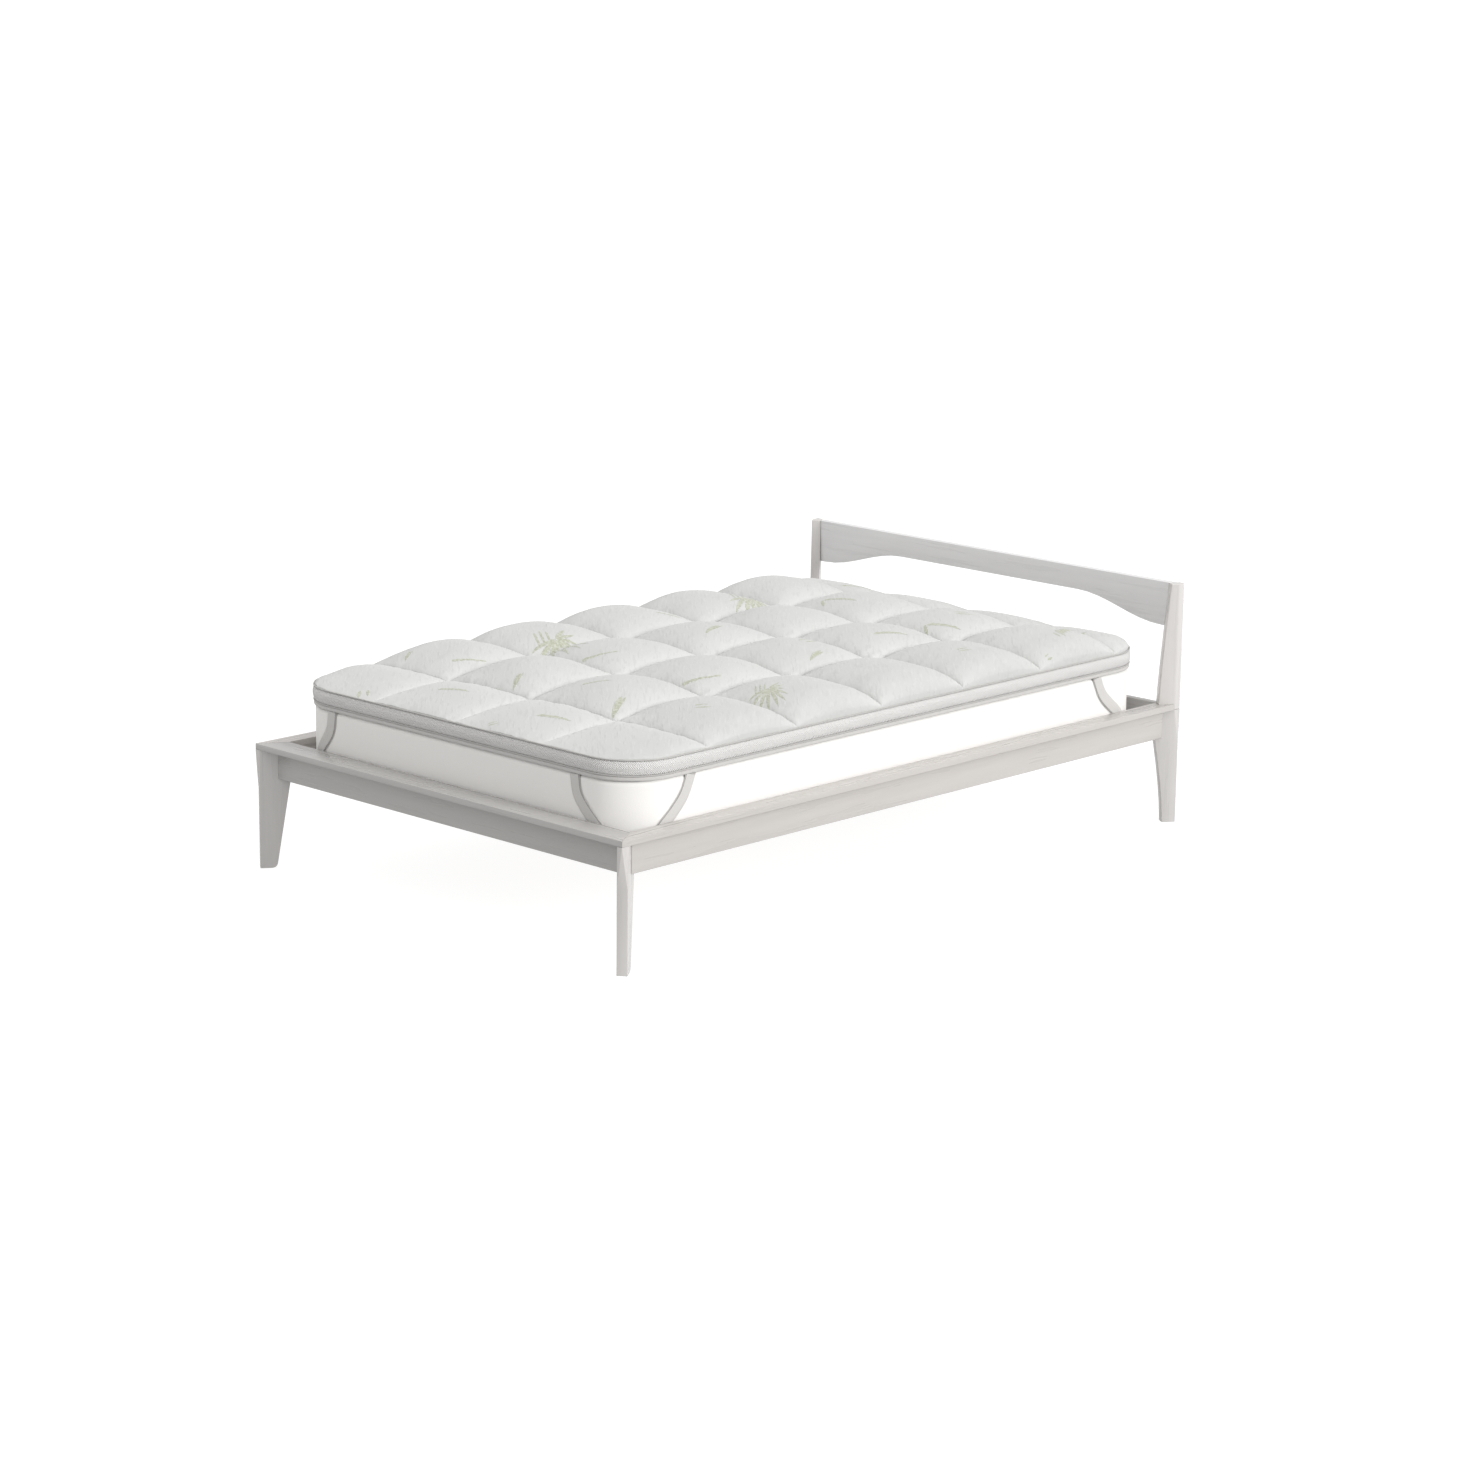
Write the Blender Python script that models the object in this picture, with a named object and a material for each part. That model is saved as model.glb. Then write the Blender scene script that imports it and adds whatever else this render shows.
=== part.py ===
"""Quilted mattress topper with corner straps, on its mattress and a plain low bed.

Metres, +Z up. X runs across the bed, Y from the foot (-Y) to the head (+Y), and the origin
is on the floor under the middle of the bed.
"""
import math

import bpy
import numpy as np

# --- topper: plan size, heights above the floor --------------------------------------------
TOPPER_WIDTH = 1.204
TOPPER_LENGTH = 1.900
TOPPER_MIDDLE_Y = 0.004          # the mattress sits a little nearer the head
CORNER_RADIUS = 0.135            # of the topper, seen from above
TOPPER_BOTTOM = 0.4220
LOWER_PIPING_Z = 0.4340
UPPER_PIPING_Z = 0.4710

# --- topper: quilting ----------------------------------------------------------------------
CELL = 0.301                     # spacing of the sewn channels, both ways
FIRST_CHANNEL_Y = -0.695         # channel nearest the foot
CELLS_ACROSS = 4
CHANNELS_ALONG = 6
SEAM_RISE = 0.012                # height of a channel above the upper piping, at the border
CROWN_RISE = 0.012               # and what the middle of the pad adds to it
PUFF = 0.0512                    # height of a full cell above its channels
PUFF_SIDE = 2.0                  # how flat the middle of a cell is
PUFF_EDGE = 0.50                 # how steeply it leaves the channel
FOOT_ROW_FILL = 0.90             # fill of the row at the foot, beside the others
CORNER_SLACK = 0.40              # share of its height that the pad loses at a foot corner
CORNER_REACH = 0.42              # and how far from the corner that dies away
# width over which the pad rolls down to the piping, and how gently it starts there
SIDE_ROLL = (0.094, 0.43)
FOOT_ROLL = (0.420, 0.68)
HEAD_ROLL = (0.142, 0.555)
STEPS_PER_CELL = 11
LINES_DRAWN_IN = 0.55            # how far the grid's lines crowd towards the channels, 0 to 1

# --- topper: edging ------------------------------------------------------------------------
BAND_THICKNESS = 0.0025
PIPING_RADIUS = 0.0020
PIPING_SIDES = 8
SEAM_GAP = 0.0004                # clearance between two sewn pieces
PAD_CLEARANCE = 0.0009           # between the pad and the bands round it
CORNER_STEPS = 12

# --- straps --------------------------------------------------------------------------------
STRAP_WIDTH = 0.032
STRAP_THICKNESS = 0.0015
STRAP_STEPS = 54
STRAP_WIDTH_STEPS = 4
STRAP_CLEARANCE = 0.0011         # off the mattress
SETTLING_ROUNDS = 6              # repeats in which points are moved to that clearance
SLOPE_STEP = 0.00001
CURVE_STEPS = 12                 # between two points of the route
# way of a strap round a corner: in from the side wall, in from the end wall, height
STRAP_ROUTE = ((0.178, 0.000, 0.4214), (0.166, 0.000, 0.370), (0.119, 0.000, 0.320),
               (0.078, 0.010, 0.280), (0.056, 0.056, 0.266), (0.010, 0.080, 0.280),
               (0.000, 0.120, 0.320), (0.000, 0.174, 0.370), (0.000, 0.201, 0.4214))
# end, hand, and how far its two ends reach from the corner
STRAPS = (("foot", "left", 0.84, 1.00), ("foot", "right", 1.03, 0.96),
          ("head", "left", 1.00, 1.07), ("head", "right", 1.00, 1.07))

# --- mattress ------------------------------------------------------------------------------
MATTRESS_HEIGHT = 0.1500
MATTRESS_INSET = 0.0035          # the topper reaches this far past it on each side
UPPER_EDGE = 0.012               # rounding of its edges
LOWER_EDGE = 0.024
EDGE_STEPS = 4

# --- bed frame -----------------------------------------------------------------------------
FRAME_WIDTH = 1.306
FRAME_LENGTH = 2.045
LEDGE_TOP = 0.319
LEDGE_THICKNESS = 0.015
SIDE_LEDGE_WIDTH = 0.046
FOOT_LEDGE_WIDTH = 0.0715
RAIL_BOTTOM = 0.229
RAIL_THICKNESS = 0.020
SIDE_RAIL_RECESS = 0.018
FOOT_RAIL_RECESS = 0.036
HEAD_RAIL_INNER_Y = 0.979
HEADBOARD_TOP = 0.640
JOINT_GAP = 0.0004

# --- legs: boards set cornerwise, tapered on their inner edge --------------------------------
LEG_THICKNESS = 0.0255
LEG_ANGLE = math.radians(54.6)   # of the board in plan, from X
LEG_END_INSET = 0.006            # the flat outer end, in from the corner of the ledge
FLAT_END_TOP = 0.205             # the pointed top becomes a flat end by this height
FOOT_LEG_WIDTHS = (0.048, 0.098)         # at the floor, at the ledge
HEAD_LEG_WIDTHS = (0.042, 0.084)
HEAD_LEG_CURVE = 1.5
POST_WIDTHS = (0.038, 0.062)             # at the top, at the ledge
POST_CURVE = 1.25
TOE_RADIUS = 0.012
TOE_STEPS = 4
END_SPLIT = 0.96                 # place on the flat end of the point that grows into the corner
LEG_STEPS = 4
POST_STEPS = 6

# --- headboard -----------------------------------------------------------------------------
HEADBOARD_FRONT_Y = 0.998
HEADBOARD_THICKNESS = 0.020
ARCH_Z = 0.578                   # lower edge in the middle
ARCH_DROP = 0.054                # and how much lower it is at the posts
ARCH_START = 0.315
ARCH_END = 0.600
ARCH_STEPS = 8

# --- deck ----------------------------------------------------------------------------------
DECK_THICKNESS = 0.015
DECK_CLEARANCE = 0.001
DECK_CORNER_CUT = 0.205          # clears the straps under the mattress's corners
CLEAT_WIDTH = 0.022
CLEAT_HEIGHT = 0.025
CLEAT_HALF_LENGTH = 0.780

# --- looks: linear colour, roughness ---------------------------------------------------------
KNIT = ((0.80, 0.82, 0.79), 0.9)
MESH = ((0.66, 0.65, 0.63), 0.9)
PLAIN_CLOTH = ((0.70, 0.69, 0.68), 0.9)
PIPING = ((0.45, 0.45, 0.44), 0.8)
ELASTIC = ((0.62, 0.62, 0.61), 0.8)
MATTRESS_COVER = ((0.86, 0.85, 0.84), 0.9)
WOOD = ((0.66, 0.65, 0.63), 0.6)
PLAIN_PANEL = ((0.60, 0.58, 0.55), 0.7)

HALF_WIDTH = FRAME_WIDTH / 2
HALF_LENGTH = FRAME_LENGTH / 2
LEDGE_BOTTOM = LEDGE_TOP - LEDGE_THICKNESS
RAIL_TOP = LEDGE_BOTTOM - JOINT_GAP
MATTRESS_TOP = TOPPER_BOTTOM - SEAM_GAP
MATTRESS_BOTTOM = MATTRESS_TOP - MATTRESS_HEIGHT


# --- objects and materials -----------------------------------------------------------------
def clear_scene():
    for old in list(bpy.data.objects):
        bpy.data.objects.remove(old, do_unlink=True)


def finish(name, look):
    colour, roughness = look
    material = bpy.data.materials.new(name)
    material.use_nodes = True
    shader = material.node_tree.nodes["Principled BSDF"]
    shader.inputs["Base Color"].default_value = (*colour, 1.0)
    shader.inputs["Roughness"].default_value = roughness
    shader.inputs["Metallic"].default_value = 0.0
    return material


def add_solid(name, points, faces, look):
    mesh = bpy.data.meshes.new(name)
    mesh.from_pydata([tuple(map(float, p)) for p in points], [], faces)
    mesh.validate()
    mesh.update()
    solid = bpy.data.objects.new(name, mesh)
    bpy.context.scene.collection.objects.link(solid)
    mesh.materials.append(finish(name, look))
    return solid


def signed_volume(points, faces):
    total = 0.0
    for face in faces:
        first = points[face[0]]
        for k in range(1, len(face) - 1):
            total += np.dot(first, np.cross(points[face[k]], points[face[k + 1]]))
    return total / 6


def outward(points, faces):
    """The faces, all turned round if they enclose the solid inside out."""
    if signed_volume(points, faces) < 0:
        return [tuple(reversed(face)) for face in faces]
    return faces


def tube_faces(rings, size, closed_path):
    """Quads between neighbouring rings of `size` points each."""
    faces = []
    for i in range(rings if closed_path else rings - 1):
        here, there = i * size, (i + 1) % rings * size
        for k in range(size):
            n = (k + 1) % size
            faces.append((here + k, here + n, there + n, there + k))
    return faces


def add_loft(name, sections, look):
    """Solid through a stack of outlines that all have the same number of points."""
    points = np.array([p for section in sections for p in section])
    size = len(sections[0])
    faces = tube_faces(len(sections), size, False)
    faces.append(tuple(reversed(range(size))))
    faces.append(tuple(len(points) - size + k for k in range(size)))
    return add_solid(name, points, outward(points, faces), look)


def add_prism(name, outline, low, high, look):
    """Upright board with the given plan, from height `low` to `high`."""
    sections = [[(x, y, z) for x, y in outline] for z in (low, high)]
    return add_loft(name, sections, look)


# --- plan of the topper and the mattress -----------------------------------------------------
def plan_outline(inset):
    """Rounded rectangle in plan, `inset` inside the topper's outline, counterclockwise."""
    half_x = TOPPER_WIDTH / 2 - CORNER_RADIUS
    half_y = TOPPER_LENGTH / 2 - CORNER_RADIUS
    radius = CORNER_RADIUS - inset
    points = []
    for quarter in range(4):
        turn = np.linspace(quarter, quarter + 1, CORNER_STEPS + 1) * math.pi / 2
        middle_turn = (quarter + 0.5) * math.pi / 2
        centre_x = math.copysign(half_x, math.cos(middle_turn))
        centre_y = math.copysign(half_y, math.sin(middle_turn)) + TOPPER_MIDDLE_Y
        points += [(centre_x + radius * math.cos(t), centre_y + radius * math.sin(t))
                   for t in turn]
    return points


def add_band(name, low, high, look):
    """Upright strip of cloth all round the topper."""
    outer, inner = plan_outline(0.0), plan_outline(BAND_THICKNESS)
    points = []
    for (xo, yo), (xi, yi) in zip(outer, inner):
        points += [(xo, yo, low), (xo, yo, high), (xi, yi, high), (xi, yi, low)]
    points = np.array(points)
    faces = tube_faces(len(outer), 4, True)
    return add_solid(name, points, outward(points, faces), look)


def add_piping(name, height, look):
    """Round cord in its cover, sewn all round the topper's edge."""
    turns = np.linspace(0, 2 * math.pi, PIPING_SIDES, endpoint=False)
    rings = [plan_outline(-PIPING_RADIUS * math.cos(t)) for t in turns]
    points = []
    for i in range(len(rings[0])):
        points += [(*ring[i], height + PIPING_RADIUS * math.sin(t))
                   for ring, t in zip(rings, turns)]
    points = np.array(points)
    faces = tube_faces(len(rings[0]), len(turns), True)
    return add_solid(name, points, outward(points, faces), look)


# --- quilted pad -----------------------------------------------------------------------------
def grid_lines(edges):
    """Grid values from edge to edge, closer together next to the channels."""
    values = [edges[0]]
    for low, high in zip(edges[:-1], edges[1:]):
        steps = round((high - low) / CELL * STEPS_PER_CELL)
        part = np.linspace(0, 1, steps + 1)[1:]
        part = part - LINES_DRAWN_IN * np.sin(2 * math.pi * part) / (2 * math.pi)
        values += list(low + (high - low) * part)
    return np.array(values)


def channel_places(inset):
    """Edges of the cells in X and in Y, from border to border."""
    half = TOPPER_WIDTH / 2 - inset
    across = [-half] + [CELL * (k - CELLS_ACROSS / 2) for k in range(1, CELLS_ACROSS)] + [half]
    foot = TOPPER_MIDDLE_Y - TOPPER_LENGTH / 2 + inset
    head = TOPPER_MIDDLE_Y + TOPPER_LENGTH / 2 - inset
    along = [foot] + [FIRST_CHANNEL_Y + CELL * k for k in range(CHANNELS_ALONG)] + [head]
    return across, along


def puff(values, edges):
    """Rise of a filled cell between two seams: 0 on each seam, 1 half-way in a full cell."""
    edges = np.array(edges)
    cell = np.clip(np.searchsorted(edges, values, side="right") - 1, 0, len(edges) - 2)
    width = edges[cell + 1] - edges[cell]
    part = np.clip((values - edges[cell]) / width, 0, 1)
    outer = ((cell == 0) & (part < 0.5)) | ((cell == len(edges) - 2) & (part > 0.5))
    part = np.where(outer, 0.5, part)
    fullness = np.minimum(width / CELL, 1.0)
    return fullness * (1 - np.abs(2 * part - 1) ** PUFF_SIDE) ** PUFF_EDGE


def roll_down(inside, roll):
    """0 at the pad's edge, easing up to 1 where the roll's width ends."""
    width, start = roll
    return (1 - (1 - np.clip(inside / width, 0, 1)) ** 2) ** start


def corner_fullness(x, y, across, along):
    """1 over most of the pad, less near the two slack corners at the foot."""
    distance = np.hypot(across[-1] - np.abs(x), y - along[0])
    return 1 - CORNER_SLACK * np.exp(-(distance / CORNER_REACH) ** 2)


def round_corners(x, y, inset):
    """Bend the corner squares of a rectangular grid into quarter discs."""
    half_x = TOPPER_WIDTH / 2 - CORNER_RADIUS
    half_y = TOPPER_LENGTH / 2 - CORNER_RADIUS
    radius = CORNER_RADIUS - inset
    along = y - TOPPER_MIDDLE_Y
    u = np.clip((np.abs(x) - half_x) / radius, 0, 1)
    v = np.clip((np.abs(along) - half_y) / radius, 0, 1)
    new_x = np.where(u > 0, np.sign(x) * (half_x + radius * u * np.sqrt(1 - v * v / 2)), x)
    new_y = np.where(v > 0, np.sign(along) * (half_y + radius * v * np.sqrt(1 - u * u / 2)), along)
    return new_x, new_y + TOPPER_MIDDLE_Y


def quilt_height(x, y, across, along):
    """Height of the quilted face: channels on a crown, full cells, rolled down at the border."""
    roll = roll_down(across[-1] - np.abs(x), SIDE_ROLL)
    roll *= roll_down(y - along[0], FOOT_ROLL) * roll_down(along[-1] - y, HEAD_ROLL)
    roll *= corner_fullness(x, y, across, along)
    side_part = np.abs(x) / across[-1]
    end_part = np.abs(y - TOPPER_MIDDLE_Y) / (along[-1] - TOPPER_MIDDLE_Y)
    crown = 1 - np.maximum(side_part, end_part) ** 2
    cells = PUFF * puff(x, across) * puff(y, along)
    cells *= np.where(y < FIRST_CHANNEL_Y, FOOT_ROW_FILL, 1.0)
    return UPPER_PIPING_Z + roll * (SEAM_RISE + CROWN_RISE * crown + cells)


def add_pad():
    """The filled pad, one closed solid: flat below, upright wall, quilted face on top."""
    inset = BAND_THICKNESS + PAD_CLEARANCE
    across, along = channel_places(inset)
    xs, ys = grid_lines(across), grid_lines(along)
    x, y = np.meshgrid(xs, ys, indexing="ij")
    plan_x, plan_y = round_corners(x, y, inset)
    z = quilt_height(x, y, across, along)
    rows, columns = x.shape
    top = np.stack([plan_x, plan_y, z], -1).reshape(-1, 3)
    faces = [(i * columns + j, (i + 1) * columns + j, (i + 1) * columns + j + 1, i * columns + j + 1)
             for i in range(rows - 1) for j in range(columns - 1)]
    rim = [i * columns for i in range(rows)]
    rim += [(rows - 1) * columns + j for j in range(1, columns)]
    rim += [i * columns + columns - 1 for i in range(rows - 2, -1, -1)]
    rim += list(range(columns - 2, 0, -1))
    base = top[rim].copy()
    base[:, 2] = TOPPER_BOTTOM
    first = len(top)
    points = np.concatenate([top, base])
    for k in range(len(rim)):
        n = (k + 1) % len(rim)
        faces.append((rim[n], rim[k], first + k, first + n))
    faces.append(tuple(first + k for k in reversed(range(len(rim)))))
    return add_solid("topper_pad", points, outward(points, faces), KNIT)


# --- mattress and straps ---------------------------------------------------------------------
def add_mattress():
    """Plain filled mattress: the topper's plan, rounded edges above and below."""
    turns = np.linspace(0, math.pi / 2, EDGE_STEPS + 1)
    bend = [(1 - math.sin(t), 1 - math.cos(t)) for t in turns]
    rings = [(side * LOWER_EDGE, MATTRESS_BOTTOM + height * LOWER_EDGE) for side, height in bend]
    rings += [(side * UPPER_EDGE, MATTRESS_TOP - height * UPPER_EDGE)
              for side, height in reversed(bend)]
    sections = [[(px, py, z) for px, py in plan_outline(MATTRESS_INSET + side)]
                for side, z in rings]
    return add_loft("mattress", sections, MATTRESS_COVER)


def mattress_distance(p):
    """Signed distance of points from the mattress's side wall, lower edge and underside."""
    half = np.array([TOPPER_WIDTH / 2, TOPPER_LENGTH / 2]) - CORNER_RADIUS
    over = np.abs(p[:, :2] - (0, TOPPER_MIDDLE_Y)) - half
    plan = np.hypot(*np.maximum(over, 0).T) + np.minimum(over.max(1), 0)
    plan -= CORNER_RADIUS - MATTRESS_INSET - LOWER_EDGE
    level = MATTRESS_BOTTOM + LOWER_EDGE - p[:, 2]
    outside = np.hypot(np.maximum(plan, 0), np.maximum(level, 0))
    return outside + np.minimum(np.maximum(plan, level), 0) - LOWER_EDGE


def mattress_normal(p):
    slopes = [mattress_distance(p + SLOPE_STEP * axis) - mattress_distance(p - SLOPE_STEP * axis)
              for axis in np.eye(3)]
    normal = np.stack(slopes, -1)
    return normal / np.linalg.norm(normal, axis=1)[:, None]


def lay_on_mattress(p, clearance):
    """Move points to a fixed distance off the mattress."""
    for _ in range(SETTLING_ROUNDS):
        p = p - (mattress_distance(p) - clearance)[:, None] * mattress_normal(p)
    return p


def smooth_route(knots, steps):
    """Curve through the knots, evenly spaced."""
    knots = np.array(knots)
    ends = np.concatenate([[2 * knots[0] - knots[1]], knots, [2 * knots[-1] - knots[-2]]])
    t = np.linspace(0, 1, CURVE_STEPS, endpoint=False)[:, None]
    parts = []
    for a, b, c, d in zip(ends[:-3], ends[1:-2], ends[2:-1], ends[3:]):
        parts.append(0.5 * (2 * b + (c - a) * t + (2 * a - 5 * b + 4 * c - d) * t ** 2
                            + (3 * b - a - 3 * c + d) * t ** 3))
    curve = np.concatenate(parts + [knots[-1:]])
    length = np.concatenate([[0], np.cumsum(np.linalg.norm(np.diff(curve, axis=0), axis=1))])
    even = np.linspace(0, length[-1], steps + 1)
    return np.stack([np.interp(even, length, curve[:, k]) for k in range(3)], -1)


def strap_line(side_x, side_y, reach_x, reach_y):
    """Middle line of the strap at the corner on the given sides, laid on the mattress."""
    knots = [(side_x * (TOPPER_WIDTH / 2 - MATTRESS_INSET - in_x * reach_x),
              TOPPER_MIDDLE_Y + side_y * (TOPPER_LENGTH / 2 - MATTRESS_INSET - in_y * reach_y), z)
             for in_x, in_y, z in STRAP_ROUTE]
    return lay_on_mattress(smooth_route(knots, STRAP_STEPS), STRAP_CLEARANCE)


def add_strap(name, line):
    """Flat elastic band along the line from the topper's edge round under the corner."""
    ahead = np.gradient(line, axis=0)
    across = np.cross(ahead, mattress_normal(line))
    across /= np.linalg.norm(across, axis=1)[:, None]
    across[0] = across[-1] = 0
    across[0, 0] = across[-1, 1] = 1
    across[0] *= math.copysign(1, across[1, 0])
    across[-1] *= math.copysign(1, across[-2, 1])
    offsets = np.linspace(-0.5, 0.5, STRAP_WIDTH_STEPS + 1) * STRAP_WIDTH
    inner = [lay_on_mattress(line + across * o, STRAP_CLEARANCE) for o in offsets]
    outer = [lay_on_mattress(p, STRAP_CLEARANCE + STRAP_THICKNESS) for p in inner]
    sections = [[p[i] for p in inner] + [p[i] for p in reversed(outer)]
                for i in range(len(line))]
    return add_loft(name, sections, ELASTIC)


# --- bed frame -------------------------------------------------------------------------------
def corner_frame(side_x, side_y):
    """Corner point of the ledge, direction of its leg's board inwards, and across the board."""
    corner = np.array([side_x * HALF_WIDTH, side_y * HALF_LENGTH])
    inwards = np.array([-side_x * math.cos(LEG_ANGLE), -side_y * math.sin(LEG_ANGLE)])
    across = np.array([side_x * math.sin(LEG_ANGLE), -side_y * math.cos(LEG_ANGLE)])
    return corner, inwards, across


def flank_point(side_x, side_y, flank, axis, value):
    """Where the flank of a leg's board crosses the plan line x = value or y = value."""
    corner, inwards, across = corner_frame(side_x, side_y)
    start = corner + across * flank * (LEG_THICKNESS / 2 + JOINT_GAP)
    return start + inwards * (value - start[axis]) / inwards[axis]


def board_section(side_x, side_y, width, z, pointed):
    """Plan of a leg at height z: its pointed end blends into a flat end as `pointed` falls."""
    corner, inwards, across = corner_frame(side_x, side_y)
    half = across * LEG_THICKNESS / 2
    flat_end = corner + inwards * LEG_END_INSET
    end_point = corner + inwards * LEG_THICKNESS / 2 / math.tan(LEG_ANGLE)
    side_point = corner + inwards * LEG_THICKNESS / 2 * math.tan(LEG_ANGLE)
    flat = [flat_end - half, flat_end + half * END_SPLIT, flat_end + half]
    point = [end_point - half, corner, side_point + half]
    tip = [f + (p - f) * pointed for f, p in zip(flat, point)]
    far = corner + inwards * width
    return [(*p, z) for p in tip + [far + half, far - half]]


def add_foot_leg(name, side_x):
    """Leg that widens evenly up to the ledge, with a rounded toe on its inner edge."""
    low, high = FOOT_LEG_WIDTHS
    sections = []
    for t in np.linspace(0, math.pi / 2, TOE_STEPS + 1):
        z = TOE_RADIUS * (1 - math.cos(t))
        width = low + (high - low) * z / RAIL_TOP - TOE_RADIUS * (1 - math.sin(t))
        sections.append(board_section(side_x, -1, width, z, 0.0))
    flat_width = low + (high - low) * FLAT_END_TOP / RAIL_TOP
    sections.append(board_section(side_x, -1, flat_width, FLAT_END_TOP, 0.0))
    sections.append(board_section(side_x, -1, high, RAIL_TOP, 1.0))
    return add_loft(name, sections, WOOD)


def add_head_leg(name, side_x):
    """Leg whose inner edge curves out towards the ledge."""
    low, high = HEAD_LEG_WIDTHS
    heights = list(np.linspace(0, FLAT_END_TOP, LEG_STEPS + 1))
    heights += [(FLAT_END_TOP + RAIL_TOP) / 2, RAIL_TOP]
    sections = []
    for z in heights:
        width = low + (high - low) * (z / RAIL_TOP) ** HEAD_LEG_CURVE
        pointed = max(0.0, (z - FLAT_END_TOP) / (RAIL_TOP - FLAT_END_TOP))
        sections.append(board_section(side_x, 1, width, z, pointed))
    return add_loft(name, sections, WOOD)


def add_post(name, side_x):
    """Post above the leg that carries the headboard."""
    narrow, wide = POST_WIDTHS
    sections = [board_section(side_x, 1, wide, LEDGE_BOTTOM, 1.0)]
    for part in np.linspace(0, 1, POST_STEPS + 1):
        width = narrow + (wide - narrow) * (1 - part ** POST_CURVE)
        z = LEDGE_TOP + (HEADBOARD_TOP - LEDGE_TOP) * part
        sections.append(board_section(side_x, 1, width, z, 1.0))
    return add_loft(name, sections, WOOD)


def add_foot_ledge():
    outer_y, inner_y = -HALF_LENGTH, -HALF_LENGTH + FOOT_LEDGE_WIDTH
    outer_x, inner_x = HALF_WIDTH - JOINT_GAP, HALF_WIDTH - SIDE_LEDGE_WIDTH - JOINT_GAP
    outline = [(-outer_x, outer_y), (outer_x, outer_y), (inner_x, inner_y), (-inner_x, inner_y)]
    return add_prism("ledge_foot", outline, LEDGE_BOTTOM, LEDGE_TOP, WOOD)


def add_side_ledge(name, side):
    """Side board of the ledge, mitred at the foot and notched round the head post."""
    outer, inner = HALF_WIDTH, HALF_WIDTH - SIDE_LEDGE_WIDTH
    corner, inwards, across = corner_frame(1, 1)
    half = across * (LEG_THICKNESS / 2 + JOINT_GAP)
    notch = corner + inwards * (POST_WIDTHS[1] + JOINT_GAP)
    at_edge = flank_point(1, 1, 1, 0, outer)
    outline = [(outer, -HALF_LENGTH + JOINT_GAP), tuple(at_edge), tuple(notch + half),
               tuple(notch - half), (inner, HEAD_RAIL_INNER_Y - JOINT_GAP),
               (inner, -HALF_LENGTH + FOOT_LEDGE_WIDTH + JOINT_GAP)]
    outline = [(side * x, y) for x, y in outline]
    return add_prism(name, outline, LEDGE_BOTTOM, LEDGE_TOP, WOOD)


def add_cross_rail(name, side_y, outer_y, inner_y, top):
    """Rail across the bed, its ends cut to the flanks of the two legs."""
    outer_x = flank_point(1, side_y, -1, 1, outer_y)[0]
    inner_x = flank_point(1, side_y, -1, 1, inner_y)[0]
    outline = [(-outer_x, outer_y), (outer_x, outer_y), (inner_x, inner_y), (-inner_x, inner_y)]
    return add_prism(name, outline, RAIL_BOTTOM, top, WOOD)


def add_side_rail(name, side):
    outer = HALF_WIDTH - SIDE_RAIL_RECESS
    inner = outer - RAIL_THICKNESS
    outline = [tuple(flank_point(1, -1, 1, 0, outer)), tuple(flank_point(1, 1, 1, 0, outer)),
               tuple(flank_point(1, 1, 1, 0, inner)), tuple(flank_point(1, -1, 1, 0, inner))]
    outline = [(side * x, y) for x, y in outline]
    return add_prism(name, outline, RAIL_BOTTOM, RAIL_TOP, WOOD)


def arch_height(x):
    """Lower edge of the headboard: level in the middle, easing down to the posts."""
    part = min(1.0, max(0.0, (abs(x) - ARCH_START) / (ARCH_END - ARCH_START)))
    return ARCH_Z - ARCH_DROP * (1 - math.cos(math.pi * part)) / 2


def add_headboard():
    front, back = HEADBOARD_FRONT_Y, HEADBOARD_FRONT_Y + HEADBOARD_THICKNESS
    sections = []
    for y in (front, back):
        end = flank_point(1, 1, -1, 1, y)[0]
        flare = np.linspace(ARCH_START, ARCH_END, ARCH_STEPS + 1)
        right = [end] + list(flare[::-1])
        lower = [(x, arch_height(x)) for x in right + [-x for x in reversed(right)]]
        outline = lower + [(-end, HEADBOARD_TOP), (end, HEADBOARD_TOP)]
        sections.append([(x, y, z) for x, z in outline])
    return add_loft("headboard", sections, WOOD)


def add_deck():
    """Panel that carries the mattress, its corners cut off for the straps."""
    half_x = HALF_WIDTH - SIDE_RAIL_RECESS - RAIL_THICKNESS - DECK_CLEARANCE
    foot = -HALF_LENGTH + FOOT_RAIL_RECESS + RAIL_THICKNESS + DECK_CLEARANCE
    head = HEAD_RAIL_INNER_Y - DECK_CLEARANCE
    cut = DECK_CORNER_CUT
    outline = [(half_x, foot + cut), (half_x, head - cut), (half_x - cut, head),
               (cut - half_x, head), (-half_x, head - cut), (-half_x, foot + cut),
               (cut - half_x, foot), (half_x - cut, foot)]
    top = MATTRESS_BOTTOM - JOINT_GAP
    return add_prism("deck", outline, top - DECK_THICKNESS, top, PLAIN_PANEL)


def add_cleat(name, side):
    """Batten on the side rail's inner face that the deck lies on."""
    outer = HALF_WIDTH - SIDE_RAIL_RECESS - RAIL_THICKNESS - JOINT_GAP
    inner = outer - CLEAT_WIDTH
    y = CLEAT_HALF_LENGTH
    outline = [(side * outer, -y), (side * outer, y), (side * inner, y), (side * inner, -y)]
    top = MATTRESS_BOTTOM - DECK_THICKNESS - 2 * JOINT_GAP
    return add_prism(name, outline, top - CLEAT_HEIGHT, top, PLAIN_PANEL)


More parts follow.
